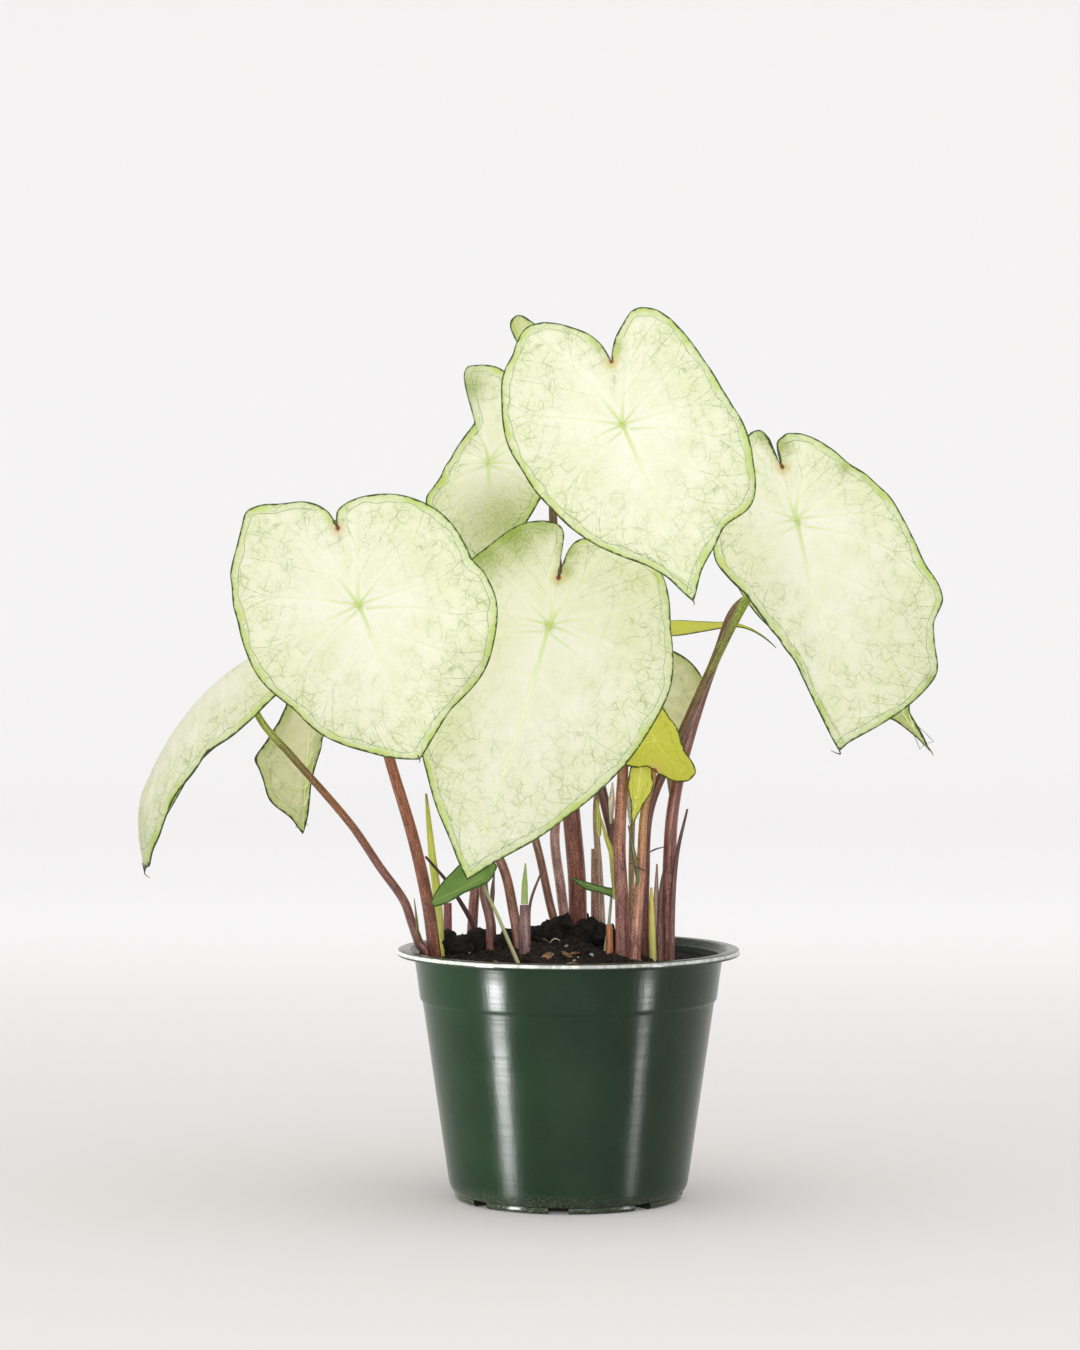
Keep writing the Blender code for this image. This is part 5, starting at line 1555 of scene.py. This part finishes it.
@dataclass(frozen=True)
class StemFinish:
    """A leaf stem's skin: a colour along its length, fine streaks, specks and a soft gloss."""

    name: str
    stops: tuple
    speck: tuple = (70, 34, 26)
    pale: tuple = (222, 176, 158)
    speckled: float = 0.5
    streaked: float = 0.5
    rough: float = 0.34

    def make(self) -> bpy.types.Material:
        """Build the finish."""
        material, tree, shader = new_material(self.name)
        share = tree.node("ShaderNodeAttribute", attribute_name="share").outputs["Fac"]
        along = tree.node("ShaderNodeAttribute", attribute_name="along").outputs["Fac"]
        ring = tree.node("ShaderNodeAttribute", attribute_name="ring").outputs["Vector"]
        split = tree.node("ShaderNodeSeparateXYZ")
        tree.feed(split.inputs[0], ring)
        lay = tree.node("ShaderNodeCombineXYZ")
        tree.feed(lay.inputs[0], split.outputs[0])
        tree.feed(lay.inputs[1], split.outputs[1])
        tree.feed(lay.inputs[2], tree.maths("MULTIPLY", along, 0.1))
        skin = lay.outputs[0]
        streak = tree.noise(tree.stretched(skin, (3.0, 3.0, 0.7)), 1.6, 4.0, 0.62)
        speck = tree.noise(tree.stretched(skin, (2.4, 2.4, 5.0)), 2.2, 2.0, 0.6)
        cloud = tree.noise(tree.stretched(skin, (0.5, 0.5, 0.5)), 1.5, 2.0, 0.5)
        ramp = tree.node("ShaderNodeValToRGB")
        tree.feed(ramp.inputs[0], tree.maths("ADD", share, tree.span(cloud, 0.3, 0.7, -0.035, 0.035)))
        stones = ramp.color_ramp.elements
        for index, (at, tone) in enumerate(self.stops):
            stone = stones[index] if index < 2 else stones.new(at)
            stone.position = at
            stone.color = srgb(*tone)
        colour = tree.blend(tree.maths("MULTIPLY", tree.span(streak, 0.5, 0.72), self.streaked),
                            ramp.outputs[0],
                            srgb(*self.pale), "MIX")
        dim = tree.maths("MULTIPLY", tree.span(streak, 0.54, 0.36), min(1.0, 1.5 * self.streaked))
        colour = tree.blend(dim, colour, srgb(*self.speck))
        spots = tree.maths("MULTIPLY", tree.span(speck, 0.5, 0.6), self.speckled)
        colour = tree.blend(spots, colour, srgb(*self.speck))
        # Dark clouds, stronger towards the foot of the stem.
        dark_clouds = tree.maths("MULTIPLY", tree.span(cloud, 0.56, 0.4),
                           tree.span(share, 0.0, 0.5, 0.7 * self.speckled, 0.2 * self.speckled))
        colour = tree.blend(dark_clouds, colour, srgb(*self.speck))
        tree.feed(shader.inputs["Base Color"], colour)
        tree.feed(shader.inputs["Roughness"], tree.span(streak, 0.3, 0.7, self.rough + 0.1,
                                                        self.rough - 0.06))
        shader.inputs["Coat Weight"].default_value = 0.25
        shader.inputs["Coat Roughness"].default_value = 0.3
        height = tree.maths("ADD", streak, tree.maths("MULTIPLY", speck, 0.4))
        tree.feed(shader.inputs["Normal"], tree.bump(height, 0.00018, 0.7))
        return material


@dataclass(frozen=True)
class PotFinish:
    """Thin dark green blown plastic: faint rings and clouds, scuffs, dust near the soil and foot, a painted
    rim highlight.
    """

    name: str = "pot_plastic"
    green: tuple = (7, 24, 9)
    worn: tuple = (14, 36, 17)
    dust: tuple = (118, 112, 96)
    # Pale colour of the highlight painted along the rim's lip.
    rim_edge_highlight: tuple = (176, 178, 172)

    @staticmethod
    def radius(tree: Tree, place: Socket) -> Socket:
        """How far a point is from the pot's axis.

        Args:
            tree: the material's tree.
            place: the point.

        Returns:
            The distance, m.
        """
        flat = tree.node("ShaderNodeVectorMath", operation="MULTIPLY")
        tree.feed(flat.inputs[0], place)
        flat.inputs[1].default_value = (1.0, 1.0, 0.0)
        length = tree.node("ShaderNodeVectorMath", operation="LENGTH")
        tree.feed(length.inputs[0], flat.outputs[0])
        return length.outputs["Value"]

    def make(self) -> bpy.types.Material:
        """Build the finish."""
        material, tree, shader = new_material(self.name)
        place = tree.node("ShaderNodeTexCoord").outputs["Object"]
        split = tree.node("ShaderNodeSeparateXYZ")
        tree.feed(split.inputs[0], place)
        cloud = tree.noise(place, 26.0, 3.0, 0.55)
        rings = tree.noise(tree.stretched(place, (6.0, 6.0, 420.0)), 1.0, 2.0, 0.5)
        scratch = tree.noise(tree.stretched(place, (240.0, 240.0, 24.0)), 1.0, 3.0, 0.7)
        grit = tree.noise(place, 900.0, 2.0, 0.6)
        colour = tree.blend(tree.span(cloud, 0.25, 0.8, 0.0, 0.6), srgb(*self.green), srgb(*self.worn))
        colour = tree.blend(tree.span(scratch, 0.62, 0.75, 0.0, 0.3), colour, srgb(*self.worn))
        low = tree.span(split.outputs[2], 0.001, 0.012, 0.22, 0.0)
        high = tree.span(split.outputs[2], 0.1168, 0.1198, 0.0, 0.35)
        dusty = tree.maths("MULTIPLY", tree.maths("ADD", low, high), tree.span(grit, 0.45, 0.65, 0.1, 1.0))
        colour = tree.blend(dusty, colour, srgb(*self.dust))
        # Painted highlight: a pale line round the outer edge of the rim's lip, broken up by the scratch
        # noise.
        edge = tree.maths("MULTIPLY", tree.span(self.radius(tree, place), 0.0817, 0.0822),
                          tree.span(split.outputs[2], 0.1178, 0.1186))
        colour = tree.blend(tree.maths("MULTIPLY", edge, tree.span(scratch, 0.3, 0.6, 0.95, 0.5)), colour,
                            srgb(*self.rim_edge_highlight))
        colour = tree.blend(tree.span(split.outputs[2], 0.1195, 0.1199, 0.0, 0.5), colour, srgb(40, 46, 38))
        tree.feed(shader.inputs["Base Color"], colour)
        tree.feed(shader.inputs["Roughness"], tree.span(cloud, 0.3, 0.7, 0.25, 0.33))
        shader.inputs["IOR"].default_value = 1.5
        shader.inputs["Specular IOR Level"].default_value = 0.32
        shader.inputs["Anisotropic"].default_value = 0.92
        shader.inputs["Anisotropic Rotation"].default_value = 0.25
        tangent = tree.node("ShaderNodeTangent", direction_type="RADIAL", axis="Z")
        tree.feed(shader.inputs["Tangent"], tangent.outputs[0])
        height = tree.maths("ADD", tree.maths("MULTIPLY", rings, 0.8), tree.maths("MULTIPLY", scratch, 0.4))
        tree.feed(shader.inputs["Normal"], tree.bump(height, 0.0003, 0.45))
        return material


@dataclass(frozen=True)
class CrumbFinish:
    """Rough broken matter: potting mix, bark or grit, mottled and matt."""

    name: str
    dark: tuple = (17, 13, 11)
    light: tuple = (58, 44, 34)
    scale: float = 380.0
    rough: float = 0.9

    def make(self) -> bpy.types.Material:
        """Build the finish."""
        material, tree, shader = new_material(self.name)
        place = tree.node("ShaderNodeTexCoord").outputs["Object"]
        lumps = tree.noise(place, self.scale, 5.0, 0.65)
        grain = tree.noise(place, self.scale * 4, 3.0, 0.6)
        colour = tree.blend(tree.span(lumps, 0.35, 0.72), srgb(*self.dark), srgb(*self.light))
        colour = tree.blend(tree.span(grain, 0.5, 0.75, 0.0, 0.5), colour, srgb(*self.light))
        tree.feed(shader.inputs["Base Color"], colour)
        tree.feed(shader.inputs["Roughness"], tree.span(grain, 0.3, 0.7, self.rough - 0.2, self.rough))
        shader.inputs["Specular IOR Level"].default_value = 0.3
        tree.feed(shader.inputs["Normal"], tree.bump(tree.maths("ADD", lumps, grain), 0.0009, 0.8))
        return material


# ---------------------------------------------------------------- small things


@dataclass(frozen=True)
class Wisp:
    """A thin bit on a leaf or stem: its points in mm, its radii, and which finish it takes."""

    name: str
    points: tuple
    radii: tuple
    finish: str
    slot: str = "dry"

    def make(self, tubes: TubeTool, finish: bpy.types.Material) -> bpy.types.Object:
        """Sweep it along its points.

        Args:
            tubes: the tool that sweeps it.
            finish: its finish.

        Returns:
            Its piece.
        """
        knots = [Vector(point) * MM for point in self.points]
        headings = [knots[1] - knots[0]]
        headings += [b - a for a, b in zip(knots, knots[2:])]
        headings += [knots[-1] - knots[-2]]
        path = [knots[0]]
        for index in range(len(knots) - 1):
            here, there = knots[index], knots[index + 1]
            pull = (there - here).length / 3
            path += interpolate_bezier(
                here, here + headings[index].normalized() * pull,
                there - headings[index + 1].normalized() * pull, there, 9
            )[1:]
        line = np.array([tuple(point) for point in path])
        lengths = np.concatenate([[0], np.cumsum(np.linalg.norm(np.diff(line, axis=0), axis=1))])
        share = lengths / lengths[-1]
        radius = np.interp(share, np.linspace(0, 1, len(self.radii)), self.radii)
        source = path_mesh(self.name, [line], [radius], {"along": [lengths / MM], "share": [share]})
        return tubes.run(self.name, source, Sides=12, Material=finish)


class CrumbTool(NodeTool):
    """Scatters rough lumps on a surface, sunk into it, each turned and sized at random."""

    def __init__(self) -> None:
        """Make the group with its number, sizes, flatness and seed."""
        super().__init__("Crumbs on the soil", {
            "Density": ("NodeSocketFloat", 50000.0),
            "Smallest": ("NodeSocketFloat", 0.0008),
            "Largest": ("NodeSocketFloat", 0.002),
            "Flatness": ("NodeSocketFloat", 0.7),
            "Length": ("NodeSocketFloat", 1.0),
            "Roughness": ("NodeSocketFloat", 0.5),
            "Lift": ("NodeSocketFloat", 0.0),
            "Detail": ("NodeSocketInt", 2),
            "Seed": ("NodeSocketInt", 1),
            "Material": ("NodeSocketMaterial", None),
        })

    def build(self) -> None:
        """Points on the faces, a lump on each, then each lump made rough by noise."""
        tree, inputs = self.tree, self.start.outputs
        points = tree.node("GeometryNodeDistributePointsOnFaces")
        tree.feed(points.inputs["Mesh"], inputs["Geometry"])
        tree.feed(points.inputs["Density"], inputs["Density"])
        tree.feed(points.inputs["Seed"], inputs["Seed"])
        lump = tree.node("GeometryNodeMeshIcoSphere")
        lump.inputs["Radius"].default_value = 1.0
        tree.feed(lump.inputs["Subdivisions"], inputs["Detail"])
        shape = tree.node("ShaderNodeCombineXYZ")
        tree.feed(shape.inputs[0], inputs["Length"])
        shape.inputs[1].default_value = 1.0
        tree.feed(shape.inputs[2], inputs["Flatness"])
        flat = tree.node("GeometryNodeTransform")
        tree.feed(flat.inputs["Geometry"], lump.outputs["Mesh"])
        tree.feed(flat.inputs["Scale"], shape.outputs[0])
        turn = tree.node("FunctionNodeRandomValue", data_type="FLOAT_VECTOR")
        turn.inputs[0].default_value = (-0.45, -0.45, 0.0)
        turn.inputs[1].default_value = (0.45, 0.45, 2 * math.pi)
        tree.feed(turn.inputs["Seed"], inputs["Seed"])
        size = tree.node("FunctionNodeRandomValue", data_type="FLOAT")
        tree.feed(size.inputs[2], inputs["Smallest"])
        tree.feed(size.inputs[3], inputs["Largest"])
        tree.feed(size.inputs["Seed"], inputs["Seed"])
        spread = tree.node("GeometryNodeInstanceOnPoints")
        tree.feed(spread.inputs["Points"], points.outputs["Points"])
        tree.feed(spread.inputs["Instance"], flat.outputs["Geometry"])
        tree.feed(spread.inputs["Rotation"], turn.outputs[0])
        tree.feed(spread.inputs["Scale"], size.outputs[1])
        real = tree.node("GeometryNodeRealizeInstances")
        tree.feed(real.inputs["Geometry"], spread.outputs["Instances"])
        place = tree.node("GeometryNodeInputPosition")
        bumps = tree.node("ShaderNodeTexNoise")
        tree.feed(bumps.inputs["Vector"], place.outputs[0])
        bumps.inputs["Scale"].default_value = 620.0
        bumps.inputs["Detail"].default_value = 2.0
        centred = tree.node("ShaderNodeVectorMath", operation="SUBTRACT")
        tree.feed(centred.inputs[0], bumps.outputs["Color"])
        centred.inputs[1].default_value = (0.5, 0.5, 0.5)
        amount = tree.node("ShaderNodeVectorMath", operation="SCALE")
        tree.feed(amount.inputs[0], centred.outputs[0])
        tree.feed(amount.inputs["Scale"], tree.maths("MULTIPLY", inputs["Roughness"], tree.maths(
            "MULTIPLY", inputs["Largest"], 2.4)))
        raised = tree.node("ShaderNodeCombineXYZ")
        tree.feed(raised.inputs[2], inputs["Lift"])
        total = tree.node("ShaderNodeVectorMath", operation="ADD")
        tree.feed(total.inputs[0], amount.outputs[0])
        tree.feed(total.inputs[1], raised.outputs[0])
        moved = tree.node("GeometryNodeSetPosition")
        tree.feed(moved.inputs["Geometry"], real.outputs["Geometry"])
        tree.feed(moved.inputs["Offset"], total.outputs[0])
        self.close(moved.outputs["Geometry"])


# ---------------------------------------------------------------- studio


@dataclass(frozen=True)
class Studio:
    """A plain pale floor and backdrop, soft lights and the camera."""

    camera_place: tuple = (0.0, -1.8, 0.291)
    camera_aim: tuple = (-0.0137, 0.0, 0.2514)
    lens: float = 99.9
    # Floor colour near the camera, darker as painted shade, and the backdrop's colour behind.
    ground: tuple = (220, 217, 215)
    backdrop: tuple = (247, 246, 246)
    surround: float = 0.96
    centre: tuple = (0.0, 0.0, 0.2)
    top: tuple = ((0.0, -0.3, 1.9), (2.0, 2.0), 1.5)
    front: tuple = ((0.0, -2.3, 1.4), (1.8, 1.2), 24)
    gleams: tuple = (
        ("gleam_left", (-0.37, -0.28, 0.06), 0.085, 5.4),
        ("gleam_right", (0.386, -0.25, 0.06), 0.05, 1.3),
    )
    gleam_height: float = 0.13
    gleam_aim: tuple = (0.0, 0.0, 0.055)

    def make_camera(self) -> None:
        """Set the camera at the photo's viewing angle."""
        data = bpy.data.cameras.new("camera")
        data.lens = self.lens
        data.sensor_width = 36.0
        camera = bpy.data.objects.new("camera", data)
        camera.location = self.camera_place
        aim = Vector(self.camera_aim) - Vector(self.camera_place)
        camera.rotation_mode = "QUATERNION"
        camera.rotation_quaternion = aim.to_track_quat("-Z", "Y")
        bpy.context.scene.collection.objects.link(camera)
        bpy.context.scene.camera = camera

    def make_ground(self) -> None:
        """Make the floor and the backdrop in one curved sheet, darker towards the camera as painted shade.
        """
        material, tree, shader = new_material("pale_paper")
        split = tree.node("ShaderNodeSeparateXYZ")
        tree.feed(split.inputs[0], tree.node("ShaderNodeTexCoord").outputs["Object"])
        # Painted shade: the floor darkens towards the camera and fades into the pale backdrop behind.
        paper = tree.blend(tree.span(split.outputs[1], 0.0, 1.6), srgb(*self.ground), srgb(*self.backdrop))
        tree.feed(shader.inputs["Base Color"], paper)
        shader.inputs["Roughness"].default_value = 1.0
        shader.inputs["Specular IOR Level"].default_value = 0.0
        line = [(-6.0, 0.0), (3.0, 0.0)]
        bend = np.linspace(0, math.pi / 2, 24)[1:]
        line += [(3.0 + 1.5 * math.sin(a), 1.5 - 1.5 * math.cos(a)) for a in bend]
        line += [(4.5, 6.0)]
        points = [(x, y, z) for y, z in line for x in (-8.0, 8.0)]
        faces = [(2 * k, 2 * k + 1, 2 * k + 3, 2 * k + 2) for k in range(len(line) - 1)]
        sheet = put("studio_ground", mesh_from("studio_ground", np.array(points), faces), material)

    def make_light(self, name: str, place: tuple, aim: tuple, size: tuple,
                   power: float) -> bpy.types.Object:
        """Add a soft rectangular light.

        Args:
            name: the light's name.
            place: where it stands, m.
            aim: the point it looks at, m.
            size: its width and height, m.
            power: its power, W.

        Returns:
            The light.
        """
        data = bpy.data.lights.new(name, "AREA")
        data.shape = "RECTANGLE"
        data.size, data.size_y = size
        data.energy = power
        light = bpy.data.objects.new(name, data)
        light.location = place
        light.rotation_mode = "QUATERNION"
        light.rotation_quaternion = (Vector(aim) - Vector(place)).to_track_quat("-Z", "Y")
        bpy.context.scene.collection.objects.link(light)
        return light

    def make(self) -> None:
        """Set up the whole studio."""
        scene = bpy.context.scene
        scene.view_settings.view_transform = "Standard"
        world = bpy.data.worlds.new("studio")
        world.use_nodes = True
        background = world.node_tree.nodes["Background"]
        background.inputs["Color"].default_value = (1.0, 1.0, 1.0, 1.0)
        background.inputs["Strength"].default_value = self.surround
        scene.world = world
        self.make_ground()
        self.make_camera()
        place, size, power = self.top
        self.make_light("top", place, self.centre, size, power)
        place, size, power = self.front
        self.make_light("front", place, self.centre, size, power).data.use_shadow = False

    def make_gloss(self, pot: bpy.types.Object) -> None:
        """Add the two low strip lights that draw a soft upright gleam on the pot and on nothing else.

        Args:
            pot: the pot's piece.
        """
        lit = bpy.data.collections.new("pot_gleam")
        lit.objects.link(pot)
        for name, place, width, power in self.gleams:
            strip = self.make_light(name, place, self.gleam_aim, (width, self.gleam_height), power)
            strip.visible_camera = False
            strip.light_linking.receiver_collection = lit


@dataclass(frozen=True)
class SoilDressing:
    """What lies on the potting mix: big lumps, crumbs, bark and grit."""

    lumps: tuple = (
        (-59, 3, 122, 8.5), (-51, -2, 121, 8), (-42, 2, 123, 9), (-33, -2, 121.5, 8), (-25, 2, 121, 6),
        (10, 8, 128, 8),
        (17, 6, 126, 7.5), (-6, 14, 127, 8.5), (3, 14, 130, 9), (-15, 16, 124, 7.5), (24, 8, 124, 6),
        (-58, 12, 117, 6.5), (-50, 3, 118, 6), (-43, 12, 122, 7.5), (-35, 2, 121, 6), (-29, 14, 125, 5),
        (-52, -14, 114, 5),
        (-33, -30, 115, 4.5), (-3, -34, 114, 4), (9, 26, 124, 5), (32, 14, 119, 5), (48, 24, 115, 6),
        (-14, 44, 119, 6),
        (16, -32, 113, 4), (0, 0, 121, 5), (-66, -6, 112, 4), (58, -8, 112.5, 4.5), (26, 48, 114, 5),
        (-40, 44, 116, 6),
    )

    def make_lumps(self, finish: bpy.types.Material) -> bpy.types.Object:
        """Make the big lumps, half sunk in the mix."""
        whole = bmesh.new()
        for x, y, z, size in self.lumps:
            made = bmesh.ops.create_icosphere(whole, subdivisions=4, radius=1.0)
            for vert in made["verts"]:
                way = vert.co.normalized()
                seed = Vector((x, y, z)) * 0.37
                rough = 0.34 * noise.fractal(way * 1.6 + seed, 0.9, 2.1, 5)
                rough += 0.1 * noise.noise(way * 9 + seed)
                vert.co = (Vector((x, y, z - 1.0)) + way * size * (1 + rough) * 0.8) * MM
        mesh = bpy.data.meshes.new("soil_lumps")
        whole.to_mesh(mesh)
        whole.free()
        mesh.shade_smooth()
        return put("soil_lumps", mesh, finish)

    def top(self) -> bpy.types.Mesh:
        """The soil's top, a little inside the pot's wall, to scatter on."""
        steps = np.linspace(-69, 69, 47)
        points, faces, index = [], [], {}
        for i, x in enumerate(steps):
            for j, y in enumerate(steps):
                if math.hypot(x, y) < 69.5:
                    index[i, j] = len(points)
                    points.append((x, y, soil_level(x, y) - 0.2))
        for (i, j), corner in index.items():
            if (i + 1, j) in index and (i, j + 1) in index and (i + 1, j + 1) in index:
                faces.append((corner, index[i + 1, j], index[i + 1, j + 1], index[i, j + 1]))
        return mesh_from("soil_top", np.array(points) * MM, faces)

    def make(self) -> list[bpy.types.Object]:
        """Make all of it."""
        crumbs = CrumbTool()
        mix = CrumbFinish("soil_crumb", (10, 8, 7), (50, 38, 30)).make()
        bark = CrumbFinish("bark_chip", (84, 58, 42), (176, 136, 100), 260.0, 0.8).make()
        grit = CrumbFinish("pale_grit", (150, 146, 136), (214, 210, 200), 700.0, 0.8).make()
        return [
            self.make_lumps(CrumbFinish("soil_lump", (7, 6, 6), (38, 29, 24), 300.0).make()),
            crumbs.run("soil_crumbs", self.top(), Density=75000.0, Smallest=0.0007, Largest=0.0021,
                       Flatness=0.75,
                       Roughness=0.55, Seed=3, Material=mix),
            crumbs.run("soil_fines", self.top(), Density=260000.0, Smallest=0.0003, Largest=0.0008,
                       Flatness=0.8,
                       Roughness=0.4, Lift=0.0002, Detail=1, Seed=9, Material=mix),
            crumbs.run("bark_chips", self.top(), Density=2200.0, Smallest=0.0012, Largest=0.003,
                       Flatness=0.28,
                       Length=2.1, Roughness=0.3, Lift=0.0008, Seed=12, Material=bark),
            crumbs.run("pale_grit", self.top(), Density=2400.0, Smallest=0.0005, Largest=0.0012,
                       Flatness=0.8,
                       Roughness=0.4, Lift=0.0008, Seed=21, Material=grit),
        ]


WISPS = (
    Wisp("spike_far_left", ((-72.4, 4.2, 122), (-73.2, 3.4, 133), (-74.4, 3.4, 143.5)), (0.9, 0.7, 0.2),
         "olive"),
    Wisp("sheath_lime", ((22.4, -6, 144), (20.8, -6, 165.5), (18, -4, 174), (15.5, -2, 183)),
         (1.0, 1.6, 1.3, 0.4), "lime"),
    Wisp("sheath_lime_small", ((14.8, 0, 174), (14.2, 0, 184), (13.6, 0, 191)), (1.0, 1.6, 0.4), "lime"),
    Wisp("sheath_green", ((33.8, -18, 148), (32, -17, 162), (28.6, -14, 180)), (0.9, 1.2, 0.3), "deep"),
    Wisp("sheath_dark", ((44, -10.5, 112), (43.8, -9.8, 138), (44.6, -8.6, 152), (46, -7.6, 160)),
         (1.9, 1.7, 1.2, 0.3),
         "purple"),
    Wisp("sheath_mauve", ((42.2, -7, 112), (42, -7, 140), (42.4, -7, 161)), (1.9, 1.8, 0.4), "mauve"),
    Wisp("thread_right", ((37.5, -14, 166.5), (41.5, -15, 168.6), (46, -15, 169.8)), (0.3, 0.42, 0.2),
         "purple"),
    Wisp("thread_left", ((29.4, -20, 163), (33, -20.5, 160.2), (36.6, -20, 158.8)), (0.2, 0.45, 0.3),
         "purple"),
    Wisp("stub_orange", ((19.6, -14, 110), (19.6, -14, 124), (19.5, -14, 132.5)), (2.0, 1.9, 1.5),
         "orange"),
    Wisp("sheath_cream", ((20.4, -1, 180), (20.8, -1, 191), (21.2, -1, 200)), (0.5, 1.8, 0.3), "cream"),
    Wisp("sheath_cream_right", ((29.6, -2, 180), (29.2, -2, 192), (28.6, -2, 203)), (0.5, 1.7, 0.3),
         "cream"),
    # A thin dark sliver beside the foot of stem_back.
    Wisp("dark_sliver", ((-36.8, -9, 136), (-36.2, -8.6, 150), (-35.4, -8, 158)), (0.5, 1.2, 0.2),
         "purple"),
    Wisp("green_scrap", ((-1.6, 12, 123.5), (2, 12, 128), (5.6, 12, 126.6)), (0.4, 1.3, 0.4), "lime"),
    Wisp("pale_thread", ((-9, -10, 123.5), (-6.5, -10.6, 125.4), (-4, -10, 124.4)), (0.2, 0.3, 0.2),
         "cream"),
)
WISP_SKINS = {
    "olive": ((0, (120, 96, 60)), (0.5, (140, 140, 70)), (1, (150, 120, 70))),
    "lime": ((0, (206, 214, 110)), (0.6, (196, 206, 70)), (1, (176, 180, 60))),
    "deep": ((0, (96, 120, 48)), (0.6, (58, 84, 30)), (1, (40, 56, 24))),
    "purple": ((0, (130, 92, 84)), (0.5, (84, 50, 50)), (1, (60, 34, 36))),
    "mauve": ((0, (206, 182, 174)), (0.6, (196, 166, 156)), (1, (150, 110, 104))),
    "orange": ((0, (176, 104, 62)), (1, (206, 134, 72))),
    "cream": ((0, (226, 220, 196)), (0.5, (236, 232, 208)), (1, (222, 214, 170))),
}


def dress_leaves(tubes: TubeTool) -> dict[str, Surface]:
    """Make every blade with its veins.

    Args:
        tubes: the tool that sweeps the veins.

    Returns:
        The surface of each blade by name.
    """
    finishes = {
        "leaf": (
            LeafFinish("leaf_upper").make(),
            LeafFinish("leaf_under", pale=(244, 242, 220), tint=(230, 230, 188), band=(206, 216, 140),
                       rough=0.55,
                       net=(134, 158, 84), net_strength=0.4, shade_and_lime=(222, 214, 172), through=0.55).make(),
            VeinFinish("leaf_vein").make(),
        ),
        "young_leaf": (
            LeafFinish("young_leaf_upper", pale=(240, 240, 156), tint=(226, 230, 108), band=(216, 224, 94),
                       net=(176, 186, 50), shade_and_lime=(228, 228, 92), net_strength=0.35).make(),
            LeafFinish("young_leaf_under", pale=(220, 222, 140), tint=(200, 206, 96), band=(196, 204, 84),
                       net=(150, 164, 50), shade_and_lime=(198, 198, 84), net_strength=0.35, rough=0.55).make(),
            VeinFinish("young_leaf_vein", (226, 228, 130), (206, 208, 90), (140, 150, 44)).make(),
        ),
        "weed": (
            LeafFinish("weed_upper", pale=(104, 138, 60), tint=(84, 120, 50), band=(110, 140, 66),
                       net=(66, 96, 40),
                       hub=(140, 160, 90), shade_and_lime=(90, 124, 56), through=0.15).make(),
            LeafFinish("weed_under", pale=(130, 152, 92), tint=(112, 138, 78), band=(120, 146, 84),
                       net=(90, 116, 60),
                       hub=(150, 166, 110), shade_and_lime=(110, 136, 80), through=0.15, rough=0.6).make(),
            VeinFinish("weed_vein", (150, 170, 100), (120, 146, 76), (70, 96, 40)).make(),
        ),
    }
    rim = LeafFinish("leaf_margin", pale=(84, 118, 38), tint=(70, 104, 30), band=(60, 92, 24),
                     net=(52, 82, 22),
                     through=0.2).make()
    hair = StemFinish("leaf_hair", ((0, (120, 130, 60)), (0.5, (96, 84, 50)), (1, (70, 50, 40)))).make()
    surfaces = {}
    for blade in BLADES:
        upper, under, vein = finishes[blade.slot]
        leaf = Leaf(blade)
        settle(leaf.make(upper, under, rim), blade.slot, blade.name)
        settle(leaf.make_veins(tubes, vein), blade.slot)
        if blade.name in HAIRS:
            settle(hair_at_tip(leaf, tubes, hair, *HAIRS[blade.name]), blade.slot)
        surfaces[blade.name] = leaf.surface
    return surfaces


def dress_stems(tubes: TubeTool, surfaces: dict[str, Surface]) -> None:
    """Make every stem, shoot and stub.

    Args:
        tubes: the tool that sweeps them.
        surfaces: the surface of each blade by name.
    """
    for stem in STEMS:
        slot = STEM_SLOTS.get(stem.name, "stem")
        calm = slot in ("sprout", "weed")
        finish = StemFinish(stem.name + "_skin", SKINS[stem.name], speckled=0.12 if calm else 0.75,
                            streaked=0.2 if calm else 0.42, rough=0.3 if slot != "dry" else 0.6)
        settle(StemBuilder(stem, surfaces).make(tubes, finish.make()), slot, stem.name)
    green = StemFinish("shoot_spike_skin", ((0, (186, 206, 130)), (0.5, (150, 186, 84)),
                                            (1, (130, 166, 60))),
                       speckled=0.1, streaked=0.3)
    spike = Wisp("shoot_spike_green", ((-20.9, -24, 143.1), (-20.7, -24, 154), (-20.4, -24, 162.6)),
                 (1.7, 1.4, 0.3), "")
    settle(spike.make(tubes, green.make()), "sprout", "shoot_spike")
    skins = {name: StemFinish(name + "_scrap", stops, speckled=0.25).make() for name,
             stops in WISP_SKINS.items()}
    for wisp in WISPS:
        settle(wisp.make(tubes, skins[wisp.finish]), wisp.slot)


def main() -> None:
    """Load the frame and make every piece."""
    logging.basicConfig(level=logging.INFO, format="%(name)s: %(message)s")
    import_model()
    studio = Studio()
    studio.make()
    tubes = TubeTool()
    dress_stems(tubes, dress_leaves(tubes))
    pot = Pot().make(PotFinish().make())
    settle(pot, "pot", "pot")
    studio.make_gloss(pot)
    settle(Soil().make(CrumbFinish("soil_mix", (11, 9, 8), (44, 34, 27)).make()), "soil", "soil")
    for piece in SoilDressing().make():
        settle(piece, "soil")
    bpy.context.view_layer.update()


if __name__ == "__main__":
    main()
